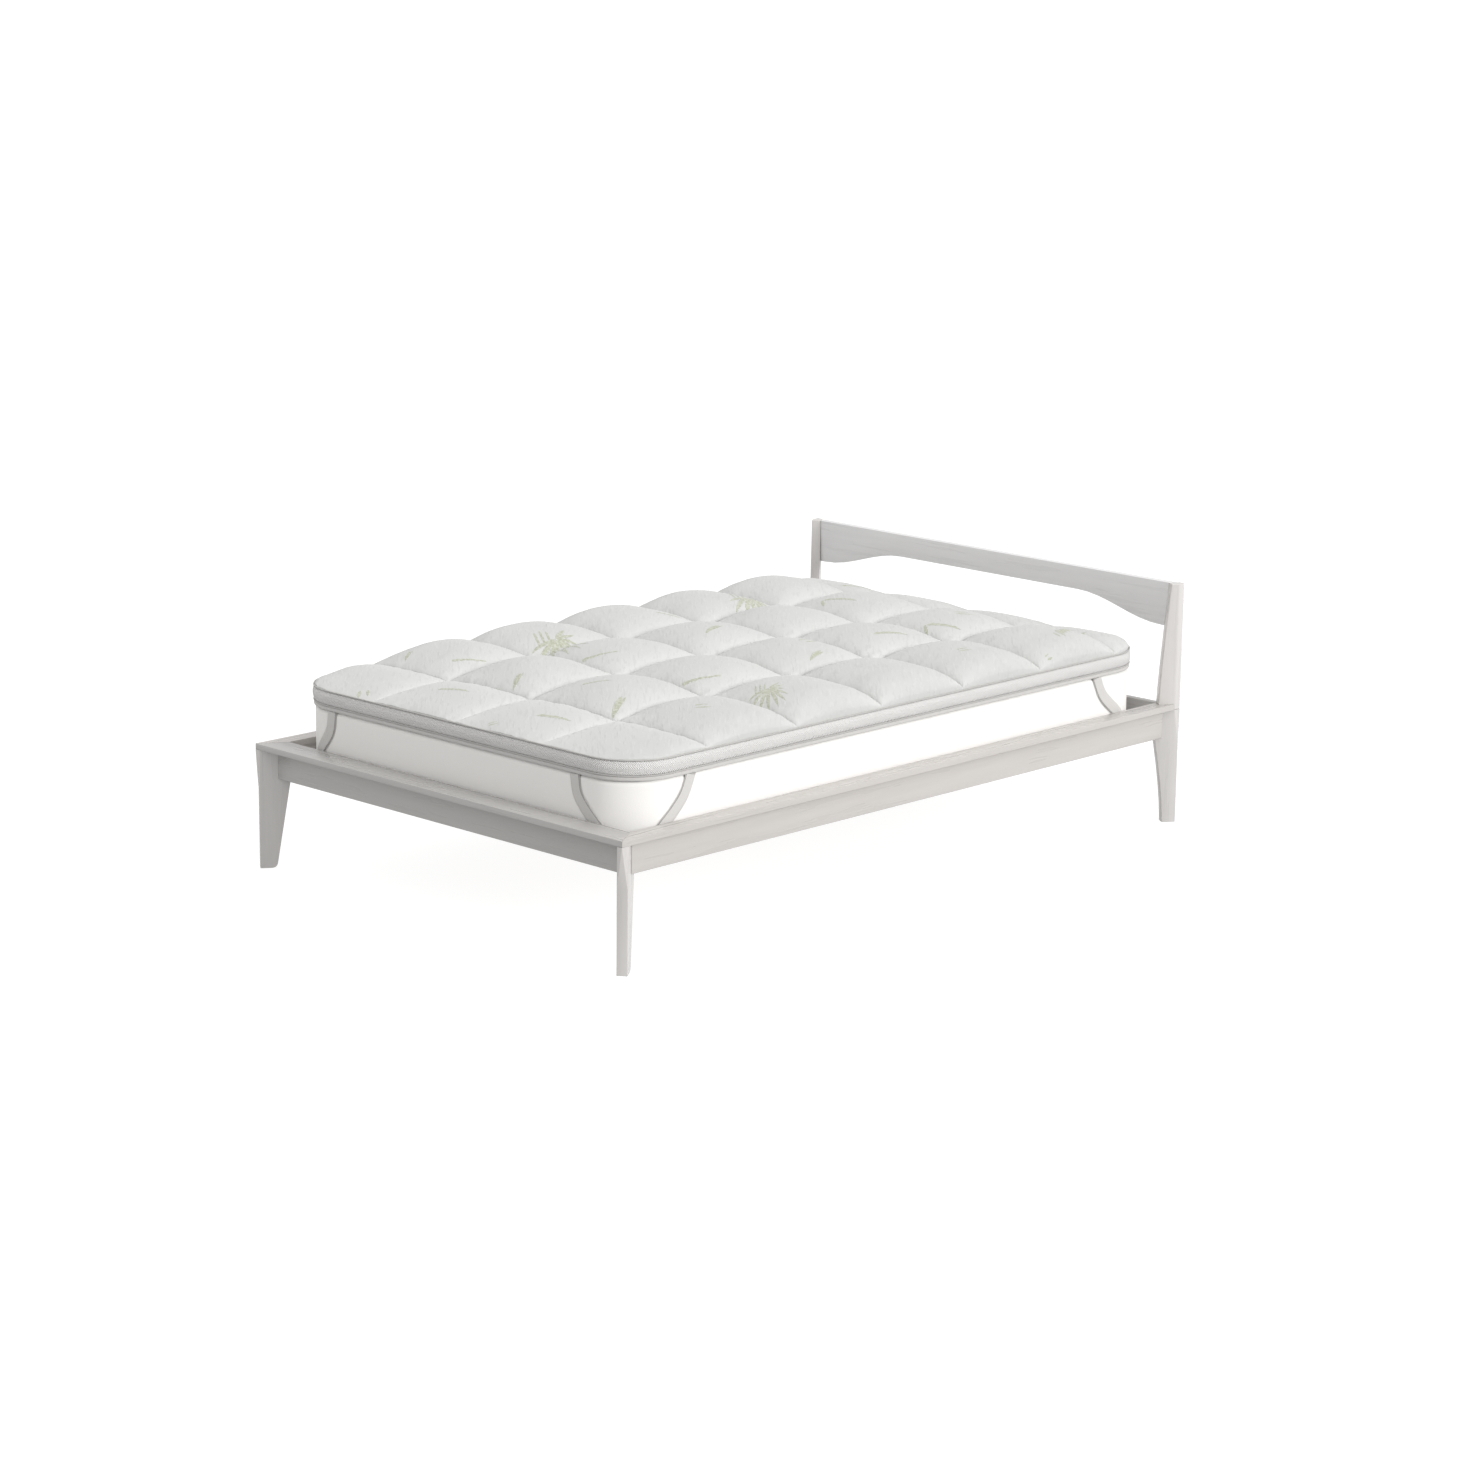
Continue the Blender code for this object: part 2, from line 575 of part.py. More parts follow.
def add_topper():
    clear = PIPING_RADIUS + SEAM_GAP
    add_pad()
    add_piping("piping_upper", UPPER_PIPING_Z, PIPING)
    add_band("border_band", LOWER_PIPING_Z + clear, UPPER_PIPING_Z - clear, MESH)
    add_piping("piping_lower", LOWER_PIPING_Z, PIPING)
    add_band("base_band", TOPPER_BOTTOM, LOWER_PIPING_Z - clear, PLAIN_CLOTH)
    sides = {"left": -1, "right": 1, "foot": -1, "head": 1}
    for end, hand, reach_x, reach_y in STRAPS:
        add_strap(f"strap_{end}_{hand}", strap_line(sides[hand], sides[end], reach_x, reach_y))


def add_bed():
    foot_outer = -HALF_LENGTH + FOOT_RAIL_RECESS
    head_outer = HEAD_RAIL_INNER_Y + RAIL_THICKNESS
    add_foot_ledge()
    add_cross_rail("rail_foot", -1, foot_outer, foot_outer + RAIL_THICKNESS, RAIL_TOP)
    add_cross_rail("rail_head", 1, head_outer, HEAD_RAIL_INNER_Y, LEDGE_TOP)
    for hand, side in (("left", -1), ("right", 1)):
        add_side_ledge(f"ledge_{hand}", side)
        add_side_rail(f"rail_{hand}", side)
        add_foot_leg(f"leg_foot_{hand}", side)
        add_head_leg(f"leg_head_{hand}", side)
        add_post(f"post_{hand}", side)
        add_cleat(f"cleat_{hand}", side)
    add_headboard()
    add_deck()


def build():
    clear_scene()
    add_bed()
    add_mattress()
    add_topper()


build()
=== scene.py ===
import math

import bmesh
import bpy
import numpy as np
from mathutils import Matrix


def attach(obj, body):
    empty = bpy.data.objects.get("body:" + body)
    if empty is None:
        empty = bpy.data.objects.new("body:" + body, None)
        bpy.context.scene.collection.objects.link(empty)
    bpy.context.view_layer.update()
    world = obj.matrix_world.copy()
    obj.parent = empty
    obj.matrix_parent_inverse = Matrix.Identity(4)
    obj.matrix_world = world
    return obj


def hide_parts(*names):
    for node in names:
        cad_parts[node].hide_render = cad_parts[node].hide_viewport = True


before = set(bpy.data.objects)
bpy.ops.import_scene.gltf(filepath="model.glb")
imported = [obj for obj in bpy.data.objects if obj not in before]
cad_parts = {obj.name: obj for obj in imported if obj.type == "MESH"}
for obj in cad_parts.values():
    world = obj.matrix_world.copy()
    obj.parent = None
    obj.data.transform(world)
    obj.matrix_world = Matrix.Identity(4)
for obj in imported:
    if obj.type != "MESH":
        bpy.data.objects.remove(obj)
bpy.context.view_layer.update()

# The dressed quilted topper, its mattress and bed, in the frame of the solids: metres, X across
# the bed, Y from the foot to the head, Z up from the floor.

# --- topper, as in the solids ----------------------------------------------------------------
TOPPER_WIDTH = 1.204
TOPPER_LENGTH = 1.900
TOPPER_MIDDLE_Y = 0.004
CORNER_RADIUS = 0.135
TOPPER_BOTTOM = 0.4220
LOWER_PIPING_Z = 0.4340
UPPER_PIPING_Z = 0.4710
CELL = 0.301
CHANNELS_X = CELL * np.arange(-1, 2)
CHANNELS_Y = -0.695 + CELL * np.arange(6)
SEAM_RISE = 0.012
CROWN_RISE = 0.012
PUFF = 0.0512
PUFF_SIDE = 2.0
PUFF_EDGE = 0.50
FOOT_ROW_FILL = 0.90
CORNER_SLACK = 0.40
CORNER_REACH = 0.42
SIDE_ROLL = (0.094, 0.43)
FOOT_ROLL = (0.420, 0.68)
HEAD_ROLL = (0.142, 0.555)
PIPING_RADIUS = 0.0020
BAND_THICKNESS = 0.0025

# --- mattress and straps, as in the solids ------------------------------------------------------
MATTRESS_TOP = 0.4216
MATTRESS_HEIGHT = 0.1500
MATTRESS_BOTTOM = MATTRESS_TOP - MATTRESS_HEIGHT
MATTRESS_INSET = 0.0035
UPPER_EDGE = 0.012
LOWER_EDGE = 0.024
STRAP_WIDTH = 0.032
STRAP_THICKNESS = 0.0015
STRAP_CLEARANCE = 0.0011
STRAP_ROUTE = ((0.178, 0.000, 0.4214), (0.166, 0.000, 0.370), (0.119, 0.000, 0.320),
               (0.078, 0.010, 0.280), (0.056, 0.056, 0.266), (0.010, 0.080, 0.280),
               (0.000, 0.120, 0.320), (0.000, 0.174, 0.370), (0.000, 0.201, 0.4214))
STRAPS = (("foot", "left", 0.84, 1.00), ("foot", "right", 1.03, 0.96),
          ("head", "left", 1.00, 1.07), ("head", "right", 1.00, 1.07))

# --- finer detail of the pad, only here ---------------------------------------------------------
LATTICE_SIZE = 128               # points each way before the noise repeats
PAD_INSET = 0.0022               # from the topper's outline to the pad's own rim
WALL_SHRINK = 0.9985             # of the pad's upright wall, so that it stays behind the bands
WALL_DROP = 0.004                # from the rim to the wall's first ring
WALL_MIDDLE_Z = 0.445
STEPS_PER_CELL = 60
LINE_CROWDING = 0.70             # how strongly the grid's lines draw together at a channel
GATHER_HEIGHT = 0.0030           # of the creases that run off a seam
GATHER_REACH = 0.022
GATHER_WIDTH = 0.016
GATHER_START = 0.004             # a crease grows from nothing over this distance
CREASE_LENGTHS = (0.045, 0.030)  # of broad and of narrow creases
NARROW_CREASE = 0.55             # width of a narrow crease against a broad one
RIM_GATHER_REACH = 0.020
RIM_GATHER_SHARE = 0.7
FILL_UNEVENNESS = 0.0022
FILL_LUMP = 0.085                # spacing of the lumps in the fill
DIMPLE = 0.0015                  # extra depth where two channels cross
DIMPLE_WIDTH = 0.016

# --- stitches and woven leaves ------------------------------------------------------------------
STITCH_LENGTH = 0.0036
STITCH_PITCH = 0.0046
STITCH_RADIUS = 0.00055
STITCH_SIDES = 5
STITCH_SHOULDER = 0.28           # where a stitch is thickest, as a share of its length
STITCH_DIP = 0.8                 # how far its tips sink, in radii
STITCH_LIFT = 0.0005
STITCHED_X = (-0.570, 0.571)
STITCHED_Y = (-0.915, 0.925)
STROKE_STEPS = 14
STROKE_SIDES = 12
STROKE_LEAN = 0.85               # below 1, a stroke is widest before its middle
STROKE_FULLNESS = 0.8            # below 1, it keeps its width nearer to its ends
STROKE_TIP = 0.0002
LEAF_RISE = 0.0003
LEAF_LIFT = 0.0001

# --- edging, mattress, straps and boards --------------------------------------------------------
PIPING_STEPS, PIPING_SIDES = 720, 12
STRIP_STEPS, STRIP_ROWS = 900, 12
GUSSET_BOW = 0.0036
HEM_BOW = 0.0006
HEM_LIFT = 0.0002
SEAM_TUCK = 0.0007               # how far a strip is pulled in where it is sewn
STRIP_WAVE = (0.045, 1.2)        # length of its waves, and how many fit its height
WAVE_SHARE = 0.35                # of the bow
MATTRESS_STEPS = 600
MATTRESS_EDGE_STEPS, MATTRESS_SIDE_STEPS = 8, 13
MATTRESS_UNEVENNESS = 0.0006
MATTRESS_LUMP = (0.16, 0.05)
STRAP_STEPS, STRAP_COLUMNS = 150, 12
STRAP_EDGE_SHARE = 0.35          # thickness of the elastic at its edges against its middle
DARK_EDGE_WIDTH = 0.0015                # width of the darker band along each edge of the elastic
EASED_EDGE = 0.0016              # rounding of the wooden boards' edges
EASED_ANGLE = 24.0               # edges sharper than this are rounded
FLAT_ANGLE = 0.4                 # faces closer in direction than this are one face
MERGE_DISTANCE = 0.00002

# --- colours, light and view --------------------------------------------------------------------
KNIT_COLOUR = (0.510, 0.511, 0.500)
SEAM_PAINTED_LIGHT_TONE = 1.17                # painted light: how much paler the cover is painted at a seam, to lift its shade
LEAF_COLOUR = (0.470, 0.480, 0.395)
DARK_LEAF_COLOUR = (0.340, 0.348, 0.258)
THREAD_COLOUR = (0.80, 0.80, 0.78)
MESH_COLOUR = (0.815, 0.802, 0.785)
PIPING_COLOUR = (0.460, 0.450, 0.435)
# the base strip's own cloth tone, darkened further as painted shade under the topper's edge
BAND_PAINTED_SHADE_COLOUR = (0.575, 0.562, 0.545)
ELASTIC_COLOUR = (0.640, 0.625, 0.605)
MATTRESS_COLOUR = (0.825, 0.810, 0.788)
# painted shade: the boards across the bed get a darker tone of the one limed wood
FOOT_RAIL_PAINTED_SHADE_COLOUR = (0.430, 0.418, 0.404)
SIDE_RAIL_COLOUR = (0.498, 0.475, 0.452)
# painted light: legs, posts and headboard get paler tones of the one limed wood
LEG_PAINTED_LIGHT_COLOUR = (0.548, 0.531, 0.515)
POST_PAINTED_LIGHT_COLOUR = (0.588, 0.568, 0.551)
HEADBOARD_PAINTED_LIGHT_COLOUR = (0.698, 0.692, 0.690)
PANEL_COLOUR = (0.500, 0.450, 0.385)
KNIT_RELIEF = 0.00022
MESH_RELIEF = 0.0011
MESH_ROW, MESH_SWING, MESH_HOLE = 0.0052, 0.0080, 0.0030
ELASTIC_RELIEF = 0.00025
ELASTIC_RIB, ELASTIC_THREAD = 0.0032, 0.0012
COVER_RELIEF = 0.0002
WOOD_RELIEF = 0.00004
WOOD_GLOSS = 0.55
WOOD_ROUGHNESS = (0.24, 0.36)
FLOOR_COLOUR = (0.20, 0.20, 0.20)
FLOOR_GLOW = 0.88
FLOOR_REACH = 120.0
SKY_LOW = 0.63                   # strength of the pale surroundings just above the horizon
SKY_EXTRA = 0.66                 # and what is added to it straight above
SKY_BELOW = 0.55
HORIZON_BLEND = 0.05
KEY_STRENGTH = 2.05
KEY_HEIGHT = 20.0                # degrees above the floor, from the bed's right
KEY_TURN = 8.0                   # degrees towards the head
KEY_BREADTH = 16.0               # degrees across
CAMERA_PLACE = (6.6574, -6.8734, 2.5588)
CAMERA_TURN = (1.3375, -0.0104, 0.7707)
SENSOR_MM, LENS_MM = 36.0, 94.13


# === shapes ======================================================================================
def piece_from_faces(name, points, faces, corner_uv, material):
    """A smooth mesh object in place; `corner_uv` maps it in the cloth's own two directions."""
    mesh = bpy.data.meshes.new(name)
    mesh.from_pydata(np.asarray(points, float).tolist(), [], faces)
    if corner_uv is not None:
        layer = mesh.uv_layers.new(name="cloth")
        layer.data.foreach_set("uv", np.asarray(corner_uv, np.float32).ravel())
    mesh.polygons.foreach_set("use_smooth", [True] * len(mesh.polygons))
    mesh.materials.append(material)
    mesh.update()
    piece = bpy.data.objects.new(name, mesh)
    bpy.context.scene.collection.objects.link(piece)
    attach(piece, "root")
    return piece


def grid_quads(rows, columns, closed_rows=False, closed_columns=False):
    """Corner numbers of the quads of a grid, and each corner's unwrapped row and column."""
    i, j = np.meshgrid(np.arange(rows - (not closed_rows)),
                       np.arange(columns - (not closed_columns)), indexing="ij")
    i, j = i.ravel(), j.ravel()
    row = np.stack([i, i + 1, i + 1, i], -1)
    column = np.stack([j, j, j + 1, j + 1], -1)
    return row % rows * columns + column % columns, np.stack([row, column], -1)


def surface_piece(name, grid, material, closed, cell_size, caps=()):
    """Piece over a grid of points (rows, columns, 3); `caps` are rings closed with one face.

    `closed` says whether the rows and the columns run round, and `cell_size` is a cell's size in
    metres, for the cloth's own map.
    """
    rows, columns = grid.shape[:2]
    quads, unwrapped = grid_quads(rows, columns, *closed)
    uv = unwrapped * np.array(cell_size)
    faces = quads.tolist() + [list(map(int, ring)) for ring in caps]
    spare = sum(len(ring) for ring in caps)
    uv = np.concatenate([uv.reshape(-1, 2), np.zeros((spare, 2))])
    return piece_from_faces(name, grid.reshape(-1, 3), faces, uv, material)


def smooth_noise(u, v, seed):
    """Random heights from -1 to 1 on a unit lattice that repeats, eased between its points."""
    size = LATTICE_SIZE
    table = np.random.default_rng(seed).uniform(-1, 1, (size, size))
    u, v = np.broadcast_arrays(u, v)
    iu, iv = np.floor(u).astype(int), np.floor(v).astype(int)
    fu, fv = u - iu, v - iv
    fu, fv = fu * fu * (3 - 2 * fu), fv * fv * (3 - 2 * fv)
    near, far = iu % size, (iu + 1) % size
    left, right = iv % size, (iv + 1) % size
    first = table[near, left] * (1 - fu) + table[far, left] * fu
    second = table[near, right] * (1 - fu) + table[far, right] * fu
    return first * (1 - fv) + second * fv


def edge_line(steps):
    """Even steps round the topper: centres of its corner arcs, outward directions and length.

    A point at offset d outside the outline is centre + (CORNER_RADIUS + d) * direction. The
    centre moves along the straights, and the direction turns only in the corners.
    """
    half_x = TOPPER_WIDTH / 2 - CORNER_RADIUS
    half_y = TOPPER_LENGTH / 2 - CORNER_RADIUS
    arc = CORNER_RADIUS * math.pi / 2
    knots = np.cumsum([0, 2 * half_y, arc, 2 * half_x, arc, 2 * half_y, arc, 2 * half_x, arc])
    s = np.linspace(0, knots[-1], steps, endpoint=False)
    centre_x = np.interp(s, knots, half_x * np.array([1, 1, 1, -1, -1, -1, -1, 1, 1]))
    centre_y = np.interp(s, knots, half_y * np.array([-1, 1, 1, 1, 1, -1, -1, -1, -1]))
    turn = np.interp(s, knots, math.pi / 2 * np.array([0, 0, 1, 1, 2, 2, 3, 3, 4]))
    centre = np.stack([centre_x, centre_y + TOPPER_MIDDLE_Y], -1)
    return centre, np.stack([np.cos(turn), np.sin(turn)], -1), s, knots[-1]


def carry_round(offset, height, steps):
    """A profile of offsets and heights (columns) carried round the topper's edge (rows)."""
    centre, outward, _, _ = edge_line(steps)
    plan = centre[:, None] + (CORNER_RADIUS + offset[..., None]) * outward[:, None]
    level = np.broadcast_to(height, plan.shape[:2])
    return np.concatenate([plan, level[..., None]], -1)


# === the quilted pad =============================================================================
def cell_edges(inset):
    """Channels and border of the pad in X and in Y."""
    half_x, half_y = TOPPER_WIDTH / 2 - inset, TOPPER_LENGTH / 2 - inset
    across = np.concatenate([[-half_x], CHANNELS_X, [half_x]])
    along = np.concatenate([[TOPPER_MIDDLE_Y - half_y], CHANNELS_Y, [TOPPER_MIDDLE_Y + half_y]])
    return across, along


def fine_lines(edges):
    """Lines of the pad's grid, drawn together towards each channel by a sine."""
    lines = [edges[:1]]
    for low, high in zip(edges[:-1], edges[1:]):
        steps = round((high - low) / CELL * STEPS_PER_CELL)
        t = np.linspace(0, 1, steps + 1)[1:]
        t = t - LINE_CROWDING * np.sin(2 * math.pi * t) / (2 * math.pi)
        lines.append(low + (high - low) * t)
    return np.concatenate(lines)


def puff(values, edges):
    """Rise of a filled cell between two seams: 0 on each seam, 1 half-way in a full cell."""
    cell = np.clip(np.searchsorted(edges, values, side="right") - 1, 0, len(edges) - 2)
    width = edges[cell + 1] - edges[cell]
    part = np.clip((values - edges[cell]) / width, 0, 1)
    outer = ((cell == 0) & (part < 0.5)) | ((cell == len(edges) - 2) & (part > 0.5))
    part = np.where(outer, 0.5, part)
    return np.minimum(width / CELL, 1.0) * (1 - np.abs(2 * part - 1) ** PUFF_SIDE) ** PUFF_EDGE


def roll_down(inside, roll):
    """0 at the pad's edge, easing up to 1 where the roll's width ends."""
    width, start = roll
    return (1 - (1 - np.clip(inside / width, 0, 1)) ** 2) ** start


def seam_distance(values, channels):
    return np.abs(values[..., None] - channels).min(-1)


def gathers(along_seam, distance, reach, seed):
    """Creases square to a seam: narrow noise along it that starts at it and dies away."""
    broad, narrow = CREASE_LENGTHS
    crease = smooth_noise(along_seam / GATHER_WIDTH, distance / broad + 7.3 * seed, seed)
    crease += 0.5 * smooth_noise(along_seam / (NARROW_CREASE * GATHER_WIDTH), distance / narrow,
                                 seed + 50)
    return crease * np.exp(-distance / reach) * (1 - np.exp(-distance / GATHER_START))


def seam_painted_light_share(x, y):
    """Share of painted light on the cover: 1 on a seam, down to 0 in the middle of a full cell."""
    across, along = cell_edges(0.0)
    return 1 - puff(x, across) * puff(y, along)


def keep_on_points(piece, name, values):
    layer = piece.data.attributes.new(name, "FLOAT", "POINT")
    layer.data.foreach_set("value", values.astype(np.float32).ravel())


def quilt_height(x, y):
    """Height of the quilted face: the solid's form, with gathers at the seams and uneven fill.

    Each side of a seam, and each rim, reads the gathers' noise from a place of its own, so that no
    crease runs on across a seam.
    """
    across, along = cell_edges(0.0)
    roll = roll_down(across[-1] - np.abs(x), SIDE_ROLL)
    roll = roll * roll_down(y - along[0], FOOT_ROLL) * roll_down(along[-1] - y, HEAD_ROLL)
    side_part = np.abs(x) / across[-1]
    end_part = np.abs(y - TOPPER_MIDDLE_Y) / (along[-1] - TOPPER_MIDDLE_Y)
    crown = 1 - np.maximum(side_part, end_part) ** 2
    distance = np.hypot(across[-1] - np.abs(x), y - along[0])
    roll = roll * (1 - CORNER_SLACK * np.exp(-(distance / CORNER_REACH) ** 2))
    cells = puff(x, across) * puff(y, along) * np.where(y < CHANNELS_Y[0], FOOT_ROW_FILL, 1.0)
    to_x, to_y = seam_distance(x, CHANNELS_X), seam_distance(y, CHANNELS_Y)
    side = np.sign(x - CHANNELS_X[np.abs(x[..., None] - CHANNELS_X).argmin(-1)])
    end = np.sign(y - CHANNELS_Y[np.abs(y[..., None] - CHANNELS_Y).argmin(-1)])
    creases = gathers(y + 1.7 * side, to_x, GATHER_REACH, 1)
    creases += gathers(x + 1.3 * end, to_y, GATHER_REACH, 2)
    to_side = across[-1] - np.abs(x)
    to_end = np.minimum(y - along[0], along[-1] - y)
    rim = gathers(y + np.sign(x), to_side, RIM_GATHER_REACH, 3)
    rim = rim + gathers(x + np.sign(y), to_end, RIM_GATHER_REACH, 4)
    fill = smooth_noise(x / FILL_LUMP + 3, y / FILL_LUMP + 5, 5) * np.sqrt(np.clip(cells, 0, 1))
    dimple = np.exp(-(to_x ** 2 + to_y ** 2) / DIMPLE_WIDTH ** 2)
    height = UPPER_PIPING_Z + roll * (SEAM_RISE + CROWN_RISE * crown + PUFF * cells)
    height += GATHER_HEIGHT * creases * np.sqrt(roll) + RIM_GATHER_SHARE * GATHER_HEIGHT * rim
    return height + FILL_UNEVENNESS * fill - DIMPLE * dimple * roll


def round_corners(x, y, inset):
    """Bend the corner squares of a rectangular grid into quarter discs."""
    half_x = TOPPER_WIDTH / 2 - CORNER_RADIUS
    half_y = TOPPER_LENGTH / 2 - CORNER_RADIUS
    radius = CORNER_RADIUS - inset
    along = y - TOPPER_MIDDLE_Y
    u = np.clip((np.abs(x) - half_x) / radius, 0, 1)
    v = np.clip((np.abs(along) - half_y) / radius, 0, 1)
    new_x = np.where(u > 0, np.sign(x) * (half_x + radius * u * np.sqrt(1 - v * v / 2)), x)
    new_y = np.where(v > 0, np.sign(along) * (half_y + radius * v * np.sqrt(1 - u * u / 2)), along)
    return new_x, new_y + TOPPER_MIDDLE_Y


def rim_numbers(rows, columns):
    """Numbers of a grid's outer points, once round."""
    low = np.arange(rows) * columns
    high = (rows - 1) * columns + np.arange(1, columns)
    back = np.arange(rows - 2, -1, -1) * columns + columns - 1
    return np.concatenate([low, high, back, np.arange(columns - 2, 0, -1)])


def quilted_pad(material):
    """Closed pad: the quilted face over a rounded plan, an upright wall and a flat underside."""
    across, along = cell_edges(PAD_INSET)
    x, y = np.meshgrid(fine_lines(across), fine_lines(along), indexing="ij")
    plan_x, plan_y = round_corners(x, y, PAD_INSET)
    face = np.stack([plan_x, plan_y, quilt_height(x, y)], -1)
    rows, columns = x.shape
    rim = rim_numbers(rows, columns)
    wall = np.repeat(face.reshape(-1, 3)[rim][None], 3, axis=0)
    middle = (0, TOPPER_MIDDLE_Y)
    wall[:, :, :2] = (wall[:, :, :2] - middle) * WALL_SHRINK + middle
    levels = np.array([UPPER_PIPING_Z - WALL_DROP, WALL_MIDDLE_Z, TOPPER_BOTTOM])
    wall[:, :, 2] = levels[:, None]
    quads, _ = grid_quads(rows, columns)
    size = len(rim)
    ring_numbers = np.concatenate([rim, rows * columns + np.arange(3 * size)]).reshape(4, size)
    here, there = ring_numbers[:-1], ring_numbers[1:]
    sides = np.stack([here, there, np.roll(there, -1, 1), np.roll(here, -1, 1)], -1)
    faces = quads.tolist() + sides.reshape(-1, 4).tolist() + [ring_numbers[-1][::-1].tolist()]
    points = np.concatenate([face.reshape(-1, 3), wall.reshape(-1, 3)])
    piece = piece_from_faces("quilted_pad", points, faces, None, material)
    # painted light: the share by which the cover is painted paler near the seams
    keep_on_points(piece, "seam_painted_light", np.concatenate([seam_painted_light_share(x, y).ravel(), np.zeros(3 * size)]))
    return piece


# === stitching ===================================================================================
def stitches(name, middle, along, material):
    """One thread stitch at each point: a spindle of two rings, pointed at both ends."""
    turn = np.linspace(0, 2 * math.pi, STITCH_SIDES, endpoint=False)
    aside = np.cross(along, np.array([0.0, 0.0, 1.0]))
    aside /= np.linalg.norm(aside, axis=1)[:, None]
    normal = np.cross(aside, along)
    round_about = np.cos(turn)[:, None, None] * aside + np.sin(turn)[:, None, None] * normal
    shoulder = STITCH_LENGTH * STITCH_SHOULDER * along
    low = middle - shoulder + STITCH_RADIUS * round_about
    high = middle + shoulder + STITCH_RADIUS * round_about
    tips = [middle - along * STITCH_LENGTH / 2 - normal * STITCH_RADIUS * STITCH_DIP,
            middle + along * STITCH_LENGTH / 2 - normal * STITCH_RADIUS * STITCH_DIP]
    points = np.concatenate([low, high, [tips[0]], [tips[1]]]).transpose(1, 0, 2)
    k = np.arange(STITCH_SIDES)
    n = (k + 1) % STITCH_SIDES
    first_tip, last_tip = 2 * STITCH_SIDES, 2 * STITCH_SIDES + 1
    belt = np.stack([k, n, n + STITCH_SIDES, k + STITCH_SIDES], -1)
    first = np.stack([n, k, np.full(STITCH_SIDES, first_tip)], -1)
    last = np.stack([k + STITCH_SIDES, n + STITCH_SIDES, np.full(STITCH_SIDES, last_tip)], -1)
    starts = (last_tip + 1) * np.arange(len(middle))[:, None, None]
    faces = (starts + belt).reshape(-1, 4).tolist()
    faces += (starts + first).reshape(-1, 3).tolist() + (starts + last).reshape(-1, 3).tolist()
    return piece_from_faces(name, points.reshape(-1, 3), faces, None, material)


def seam_line(x, y):
    """Points along a seam at the quilted face's height, and the way it runs at each."""
    x, y = np.broadcast_arrays(x, y)
    line = np.stack([x, y, quilt_height(x, y)], -1)
    return line, np.gradient(line, axis=0)


def channel_stitching(material):
    """Lock stitches along the foot of every channel, following its height."""
    xs, ys = np.arange(*STITCHED_X, STITCH_PITCH), np.arange(*STITCHED_Y, STITCH_PITCH)
    seams = [seam_line(channel, ys) for channel in CHANNELS_X]
    seams += [seam_line(xs, channel) for channel in CHANNELS_Y]
    middle, along = (np.concatenate(part) for part in zip(*seams))
    along /= np.linalg.norm(along, axis=1)[:, None]
    return stitches("channel_stitching", middle + (0, 0, STITCH_LIFT), along, material)


# === woven leaves on the cover ===================================================================
# A motif's kind gives its strokes as (x, y, heading, length, width, bend, blunt). Its numbers are
# shares of the motif's size, and turns in degrees.
def leaf_stroke(x, y, heading, length, width, bend, blunt):
    """Middle line, directions across and half widths of one stroke of a woven leaf or stalk.

    The line starts at (x, y), turns evenly from heading - bend/2 to heading + bend/2 degrees, and
    its half width follows a sine from end to end; `blunt` lifts the sine for a stalk.
    """
    t = np.linspace(0, 1, STROKE_STEPS + 1)
    turn = np.radians(heading + bend * (t - 0.5))
    steps = length / STROKE_STEPS * np.stack([np.cos(turn), np.sin(turn)], -1)
    walked = np.concatenate([[(0, 0)], np.cumsum((steps[:-1] + steps[1:]) / 2, 0)])
    across = np.stack([-np.sin(turn), np.cos(turn)], -1)
    swell = np.sin(math.pi * t ** STROKE_LEAN) ** STROKE_FULLNESS
    half = width / 2 * (blunt + (1 - blunt) * swell)
    half[[0, -1]] = STROKE_TIP
    return np.array([x, y]) + walked, across, half


def ahead_of(x, y, heading, reach):
    angle = math.radians(heading)
    return x + reach * math.cos(angle), y + reach * math.sin(angle)


def grove(x, y, heading, size):
    """A tuft of long leaves that fan out from one point, beside three upright stems."""
    fan = ((-52, 0.62, 18), (-30, 0.92, 16), (-14, 1.00, 12), (0, 1.00, 8), (13, 0.96, -8),
           (27, 0.84, -12), (46, 0.60, -16), (78, 0.36, -10), (118, 0.40, 8), (150, 0.46, 10))
    strokes = [(x, y, heading + turn, size * reach, size * 0.105, bend, 0.0)
               for turn, reach, bend in fan]
    for aside, back in ((0.10, 0.34), (0.20, 0.38), (0.30, 0.32)):
        start = ahead_of(*ahead_of(x, y, heading - 90, size * aside), heading, -size * back)
        strokes.append((*start, heading, size * 0.60, size * 0.050, 3, 0.5))
    return strokes


def stalk(x, y, heading, size):
    """A jointed stalk: five short lengths, thicker at the joints."""
    strokes = []
    for k in range(5):
        start = ahead_of(x, y, heading, size * 0.2 * k)
        width = size * (0.165, 0.150, 0.125, 0.100, 0.080)[k]
        strokes.append((*start, heading + (4, -3, 2, -4, 3)[k], size * 0.215, width, 0, 0.62))
        middle = ahead_of(x, y, heading, size * (0.2 * k + 0.17))
        knot = ahead_of(*middle, heading - 90, size * 0.040)
        strokes.append((*knot, heading + 84, size * 0.085, size * 0.030, 0, 0.5))
    return strokes


def twig(x, y, heading, size):
    """A thin curved stem with small leaves near its ends."""
    strokes = [(x, y, heading, size, size * 0.150, -30, 0.3)]
    for part, turn, length in ((0.06, 44, 0.20), (0.76, -32, 0.18)):
        start = ahead_of(x, y, heading + 8, size * part)
        strokes.append((*start, heading + turn, size * length, size * 0.100, 10, 0.0))
    return strokes


